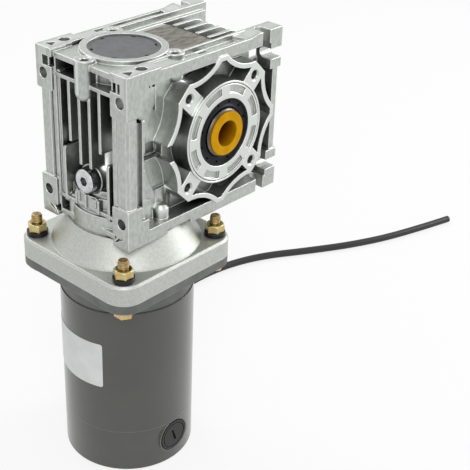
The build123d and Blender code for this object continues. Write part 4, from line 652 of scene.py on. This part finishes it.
browned, tree, shader, skin, bump = grained(
    "handled_yellow_zinc", "#80663f", "#b29a6c", 0.0022, 0.0004, 0.00006, Metallic=1.0, Roughness=0.32
)
# The shanks' edges get a painted highlight.
paint_edge_highlights(tree, shader, skin, bump, "#d8c796", 0.0003)
shank_radius, thread_foot, thread_crest, bolt_pitch, tip_turns = 0.00295, 0.0029, 0.00322, 0.001, 4
half_flats, head_height, end_chamfer = 0.005, 0.004, 0.0007
washer_height, washer_hole, washer_radius, washer_gap = 0.0014, 0.0031, 0.0061, 0.00002
up, sideways = Vector((0, 0, 1)), Vector((1, 0, 0))
nuts_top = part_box("flange_nuts")[1].z
bolts_low, bolts_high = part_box("flange_bolts")
half_hexagon = half_flats / math.cos(math.radians(30))
bracket_foot = bolts_low.z + head_height
washer_foot = bracket_foot - washer_height
shank_length = bolts_high.z - washer_foot
heads, tips = bmesh.new(), bmesh.new()
for x in (bolts_low.x + half_hexagon, bolts_high.x - half_hexagon):
    for y in (bolts_low.y + half_flats, bolts_high.y - half_flats):
        # piece, sides, radius, middle, length, and which end is rounded off
        for shape, sides, radius, middle, length, end in (
            (heads, 6, half_hexagon, washer_foot - head_height / 2, head_height, -1),
            (tips, 32, shank_radius, washer_foot + shank_length / 2, shank_length, 1),
        ):
            made = add_cone(shape, Matrix.Translation((x, y, middle)), radius, radius, length, sides)
            at_end = {point for point in made if (point.co.z - middle) * end > 0}
            rim = [edge for edge in shape.edges if at_end.issuperset(edge.verts)]
            round_off(shape, rim, end_chamfer, segments=2)
        section = [
            (x + washer_hole, y, washer_foot),
            (x + washer_radius, y, washer_foot),
            (x + washer_radius, y, bracket_foot - washer_gap),
            (x + washer_hole, y, bracket_foot - washer_gap),
        ]
        add_ring(heads, (x, y, 0), (0, 0, 1), section, steps=40)
        foot = Vector((x, y, nuts_top))
        add_thread(tips, foot, up, sideways, thread_foot, thread_crest, bolt_pitch, tip_turns)
stand_piece("flange_bolt_heads", heads, passivated, "root", "yellow_zinc", "flange_bolts")
stand_piece("flange_bolt_shanks", tips, browned, "root", "yellow_zinc")

# Tapped holes of the two output flanges: four M6 threads each, cut into the casting.
# They show as fine rings inside a dark hole: the threads are coloured dark as painted shade.
thread_in_painted_shade, *_ = grained(
    "aluminium_thread_in_painted_shade", "#2e302e", "#464846", 0.003, 0.0004, 0.00005, Metallic=1.0, Roughness=0.4
)
tap_wall, tap_crest, tap_pitch, tap_turns = 0.0026, 0.0022, 0.001, 7
taps = bmesh.new()
for side in (-1, 1):
    for quarter in range(4):
        angle = math.radians(45 + 90 * quarter)
        mouth = Vector(
            (tap_circle * math.cos(angle), side * (flange_level - tap_sink), tap_circle * math.sin(angle))
        )
        add_thread(taps, mouth, Vector((0, -side, 0)), sideways, tap_wall, tap_crest, tap_pitch, tap_turns)
stand_piece("tapped_hole_threads", taps, thread_in_painted_shade, "root", "cast_aluminium")

# Washers: thick lock washers of spring steel under the nuts.
# Phosphating and oil turn them black. Their edges get a painted highlight.
phosphated, tree, shader, skin, bump = grained(
    "black_phosphated_steel", "#0c0c0d", "#161618", 0.003, 0.0004, 0.00008, Metallic=0.3, Roughness=0.34
)
paint_edge_highlights(tree, shader, skin, bump, "#3a3a3c", 0.0004)
dress(phosphated, "flange_washers")

# Motor tube and rear cap: steel tube and cast cup, sprayed together in a satin warm grey.
# Spraying leaves a faint orange peel. A dark line shows at the top of the tube, and a fine one at its foot.
satin, tree, shader, skin, bump = grained(
    "satin_grey_paint", "#41423c", "#464741", 0.03, 0.0016, 0.00008, Roughness=0.26, IOR=1.5
)
shader.inputs["Coat Weight"].default_value = 0.5
shader.inputs["Coat Roughness"].default_value = 0.14
seam_height, joint_height = 0.0006, 0.00022
tube_low, tube_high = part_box("motor_tube")
places = add_node(tree, "ShaderNodeTexCoord").outputs["Object"]
height = add_node(tree, "ShaderNodeSeparateXYZ", {"Vector": places}).outputs["Z"]
seam_foot = tube_high.z - seam_height
seam = add_node(tree, "ShaderNodeMath", {0: height, 1: seam_foot}, operation="GREATER_THAN").outputs[0]
joint = add_node(
    tree, "ShaderNodeMath", {0: height, 1: tube_low.z, 2: joint_height}, operation="COMPARE"
).outputs[0]
colours = {0: seam, 6: skin, 7: colour("#0f0f0f")}
seamed = add_node(tree, "ShaderNodeMix", colours, data_type="RGBA").outputs[2]
colours = {0: joint, 6: seamed, 7: colour("#454641")}
jointed = add_node(tree, "ShaderNodeMix", colours, data_type="RGBA").outputs[2]
# The edges get a painted highlight.
paint_edge_highlights(tree, shader, jointed, bump, "#80817b", 0.0005)
dress(satin, "motor_tube", "rear_cap")

# Front bracket: cast aluminium, under the adapter, sprayed in a thinner and lighter coat of the same grey.
bracket_paint, tree, shader, skin, bump = grained(
    "thin_grey_paint", "#5c5e5b", "#6a6c69", 0.01, 0.0009, 0.0002, Metallic=0.35, Roughness=0.42
)
# The edges get a painted highlight.
paint_edge_highlights(tree, shader, skin, bump, "#9a9c9b", 0.0006)
dress(bracket_paint, "motor_front_bracket")

# Brush caps and holders: mouldings of black phenolic, which has a low even sheen.
# The caps are slotted for a screwdriver, one on each side of the rear cap.
phenolic, tree, shader, skin, bump = grained(
    "moulded_phenolic", "#1b1c1b", "#232423", 0.003, 0.0005, 0.0001, Roughness=0.45, IOR=1.6
)
shader.inputs["Specular IOR Level"].default_value = 0.3
# Painted shade in the hollows and a painted highlight on the edges.
paint_edge_highlights(tree, shader, paint_hollow_shade(tree, shader, skin, "#060606", 0.003), bump, "#5a5b5a", 0.0004)
dress(phenolic, "brush_caps", "brush_holders")

# Label: a plain white vinyl label with rounded corners, stuck round a quarter of the tube.
# The film is smooth, and only slightly uneven in tone.
vinyl, *_ = grained("white_vinyl", "#cfd1d0", "#d9dbda", 0.012, 0.0008, 0.00004, Roughness=0.42, IOR=1.5)
label_low, label_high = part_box("motor_label")
tube_radius = (tube_high.x - tube_low.x) / 2
motor_axis = (tube_low.x + tube_high.x) / 2
label_sweep, label_edge, label_columns = math.radians(84), math.radians(205), 28
label_corner, label_gap, label_thickness = 0.0016, 0.00006, 0.00016
label_width, label_height = tube_radius * label_sweep, label_high.z - label_low.z
label = bmesh.new()
bmesh.ops.create_grid(label, x_segments=1, y_segments=1, size=0.5)
bmesh.ops.scale(label, vec=(label_width, label_height, 1), verts=label.verts)
round_off(label, list(label.verts), label_corner, segments=5, affect="VERTICES")
for column in range(1, label_columns):
    cut = Vector((label_width * (column / label_columns - 0.5), 0, 0))
    bmesh.ops.bisect_plane(
        label, geom=[*label.verts, *label.edges, *label.faces], plane_co=cut, plane_no=(1, 0, 0)
    )
for corner in label.verts:
    angle = label_edge - label_sweep / 2 + corner.co.x / tube_radius
    radius = tube_radius + label_gap
    level = corner.co.y + (label_low.z + label_high.z) / 2
    corner.co = (motor_axis + radius * math.cos(angle), radius * math.sin(angle), level)
bmesh.ops.recalc_face_normals(label, faces=label.faces)
bmesh.ops.solidify(label, geom=label.faces[:], thickness=-label_thickness)
stand_piece("blank_label", label, vinyl, "root", "label_paper", "motor_label")

# Inside the motor: a stamped steel core, enamelled copper coils, a copper commutator, magnets and brushes.
# None of it shows, but each has a finish of its own for whoever opens the motor.
laminated, *_ = grained(
    "stamped_steel", "#54565a", "#6e7074", 0.004, 0.0006, 0.0001, Metallic=1.0, Roughness=0.45
)
dress(laminated, "armature_core")
enamelled, *_ = grained(
    "enamelled_copper", "#8e4720", "#b86a35", 0.0012, 0.0004, 0.0001, Metallic=0.9, Roughness=0.35
)
dress(enamelled, "armature_windings", "commutator")
ferrite, *_ = grained("sintered_ferrite", "#232325", "#303033", 0.002, 0.0004, 0.0002, Roughness=0.65)
dress(ferrite, "field_magnets")
carbon, *_ = grained("electrographite", "#141415", "#202022", 0.0015, 0.0003, 0.0001, Roughness=0.6)
dress(carbon, "carbon_brushes")

# Cord grommet: the rubber bush where the cord leaves the rear cap, moulded with a tapered sleeve.
# The rubber is black and a little duller than the cord.
grommet_rubber, *_ = grained("grommet_rubber", "#141516", "#1d1e20", 0.003, 0.0005, 0.0001, Roughness=0.5)
dress(grommet_rubber, "cord_grommet")
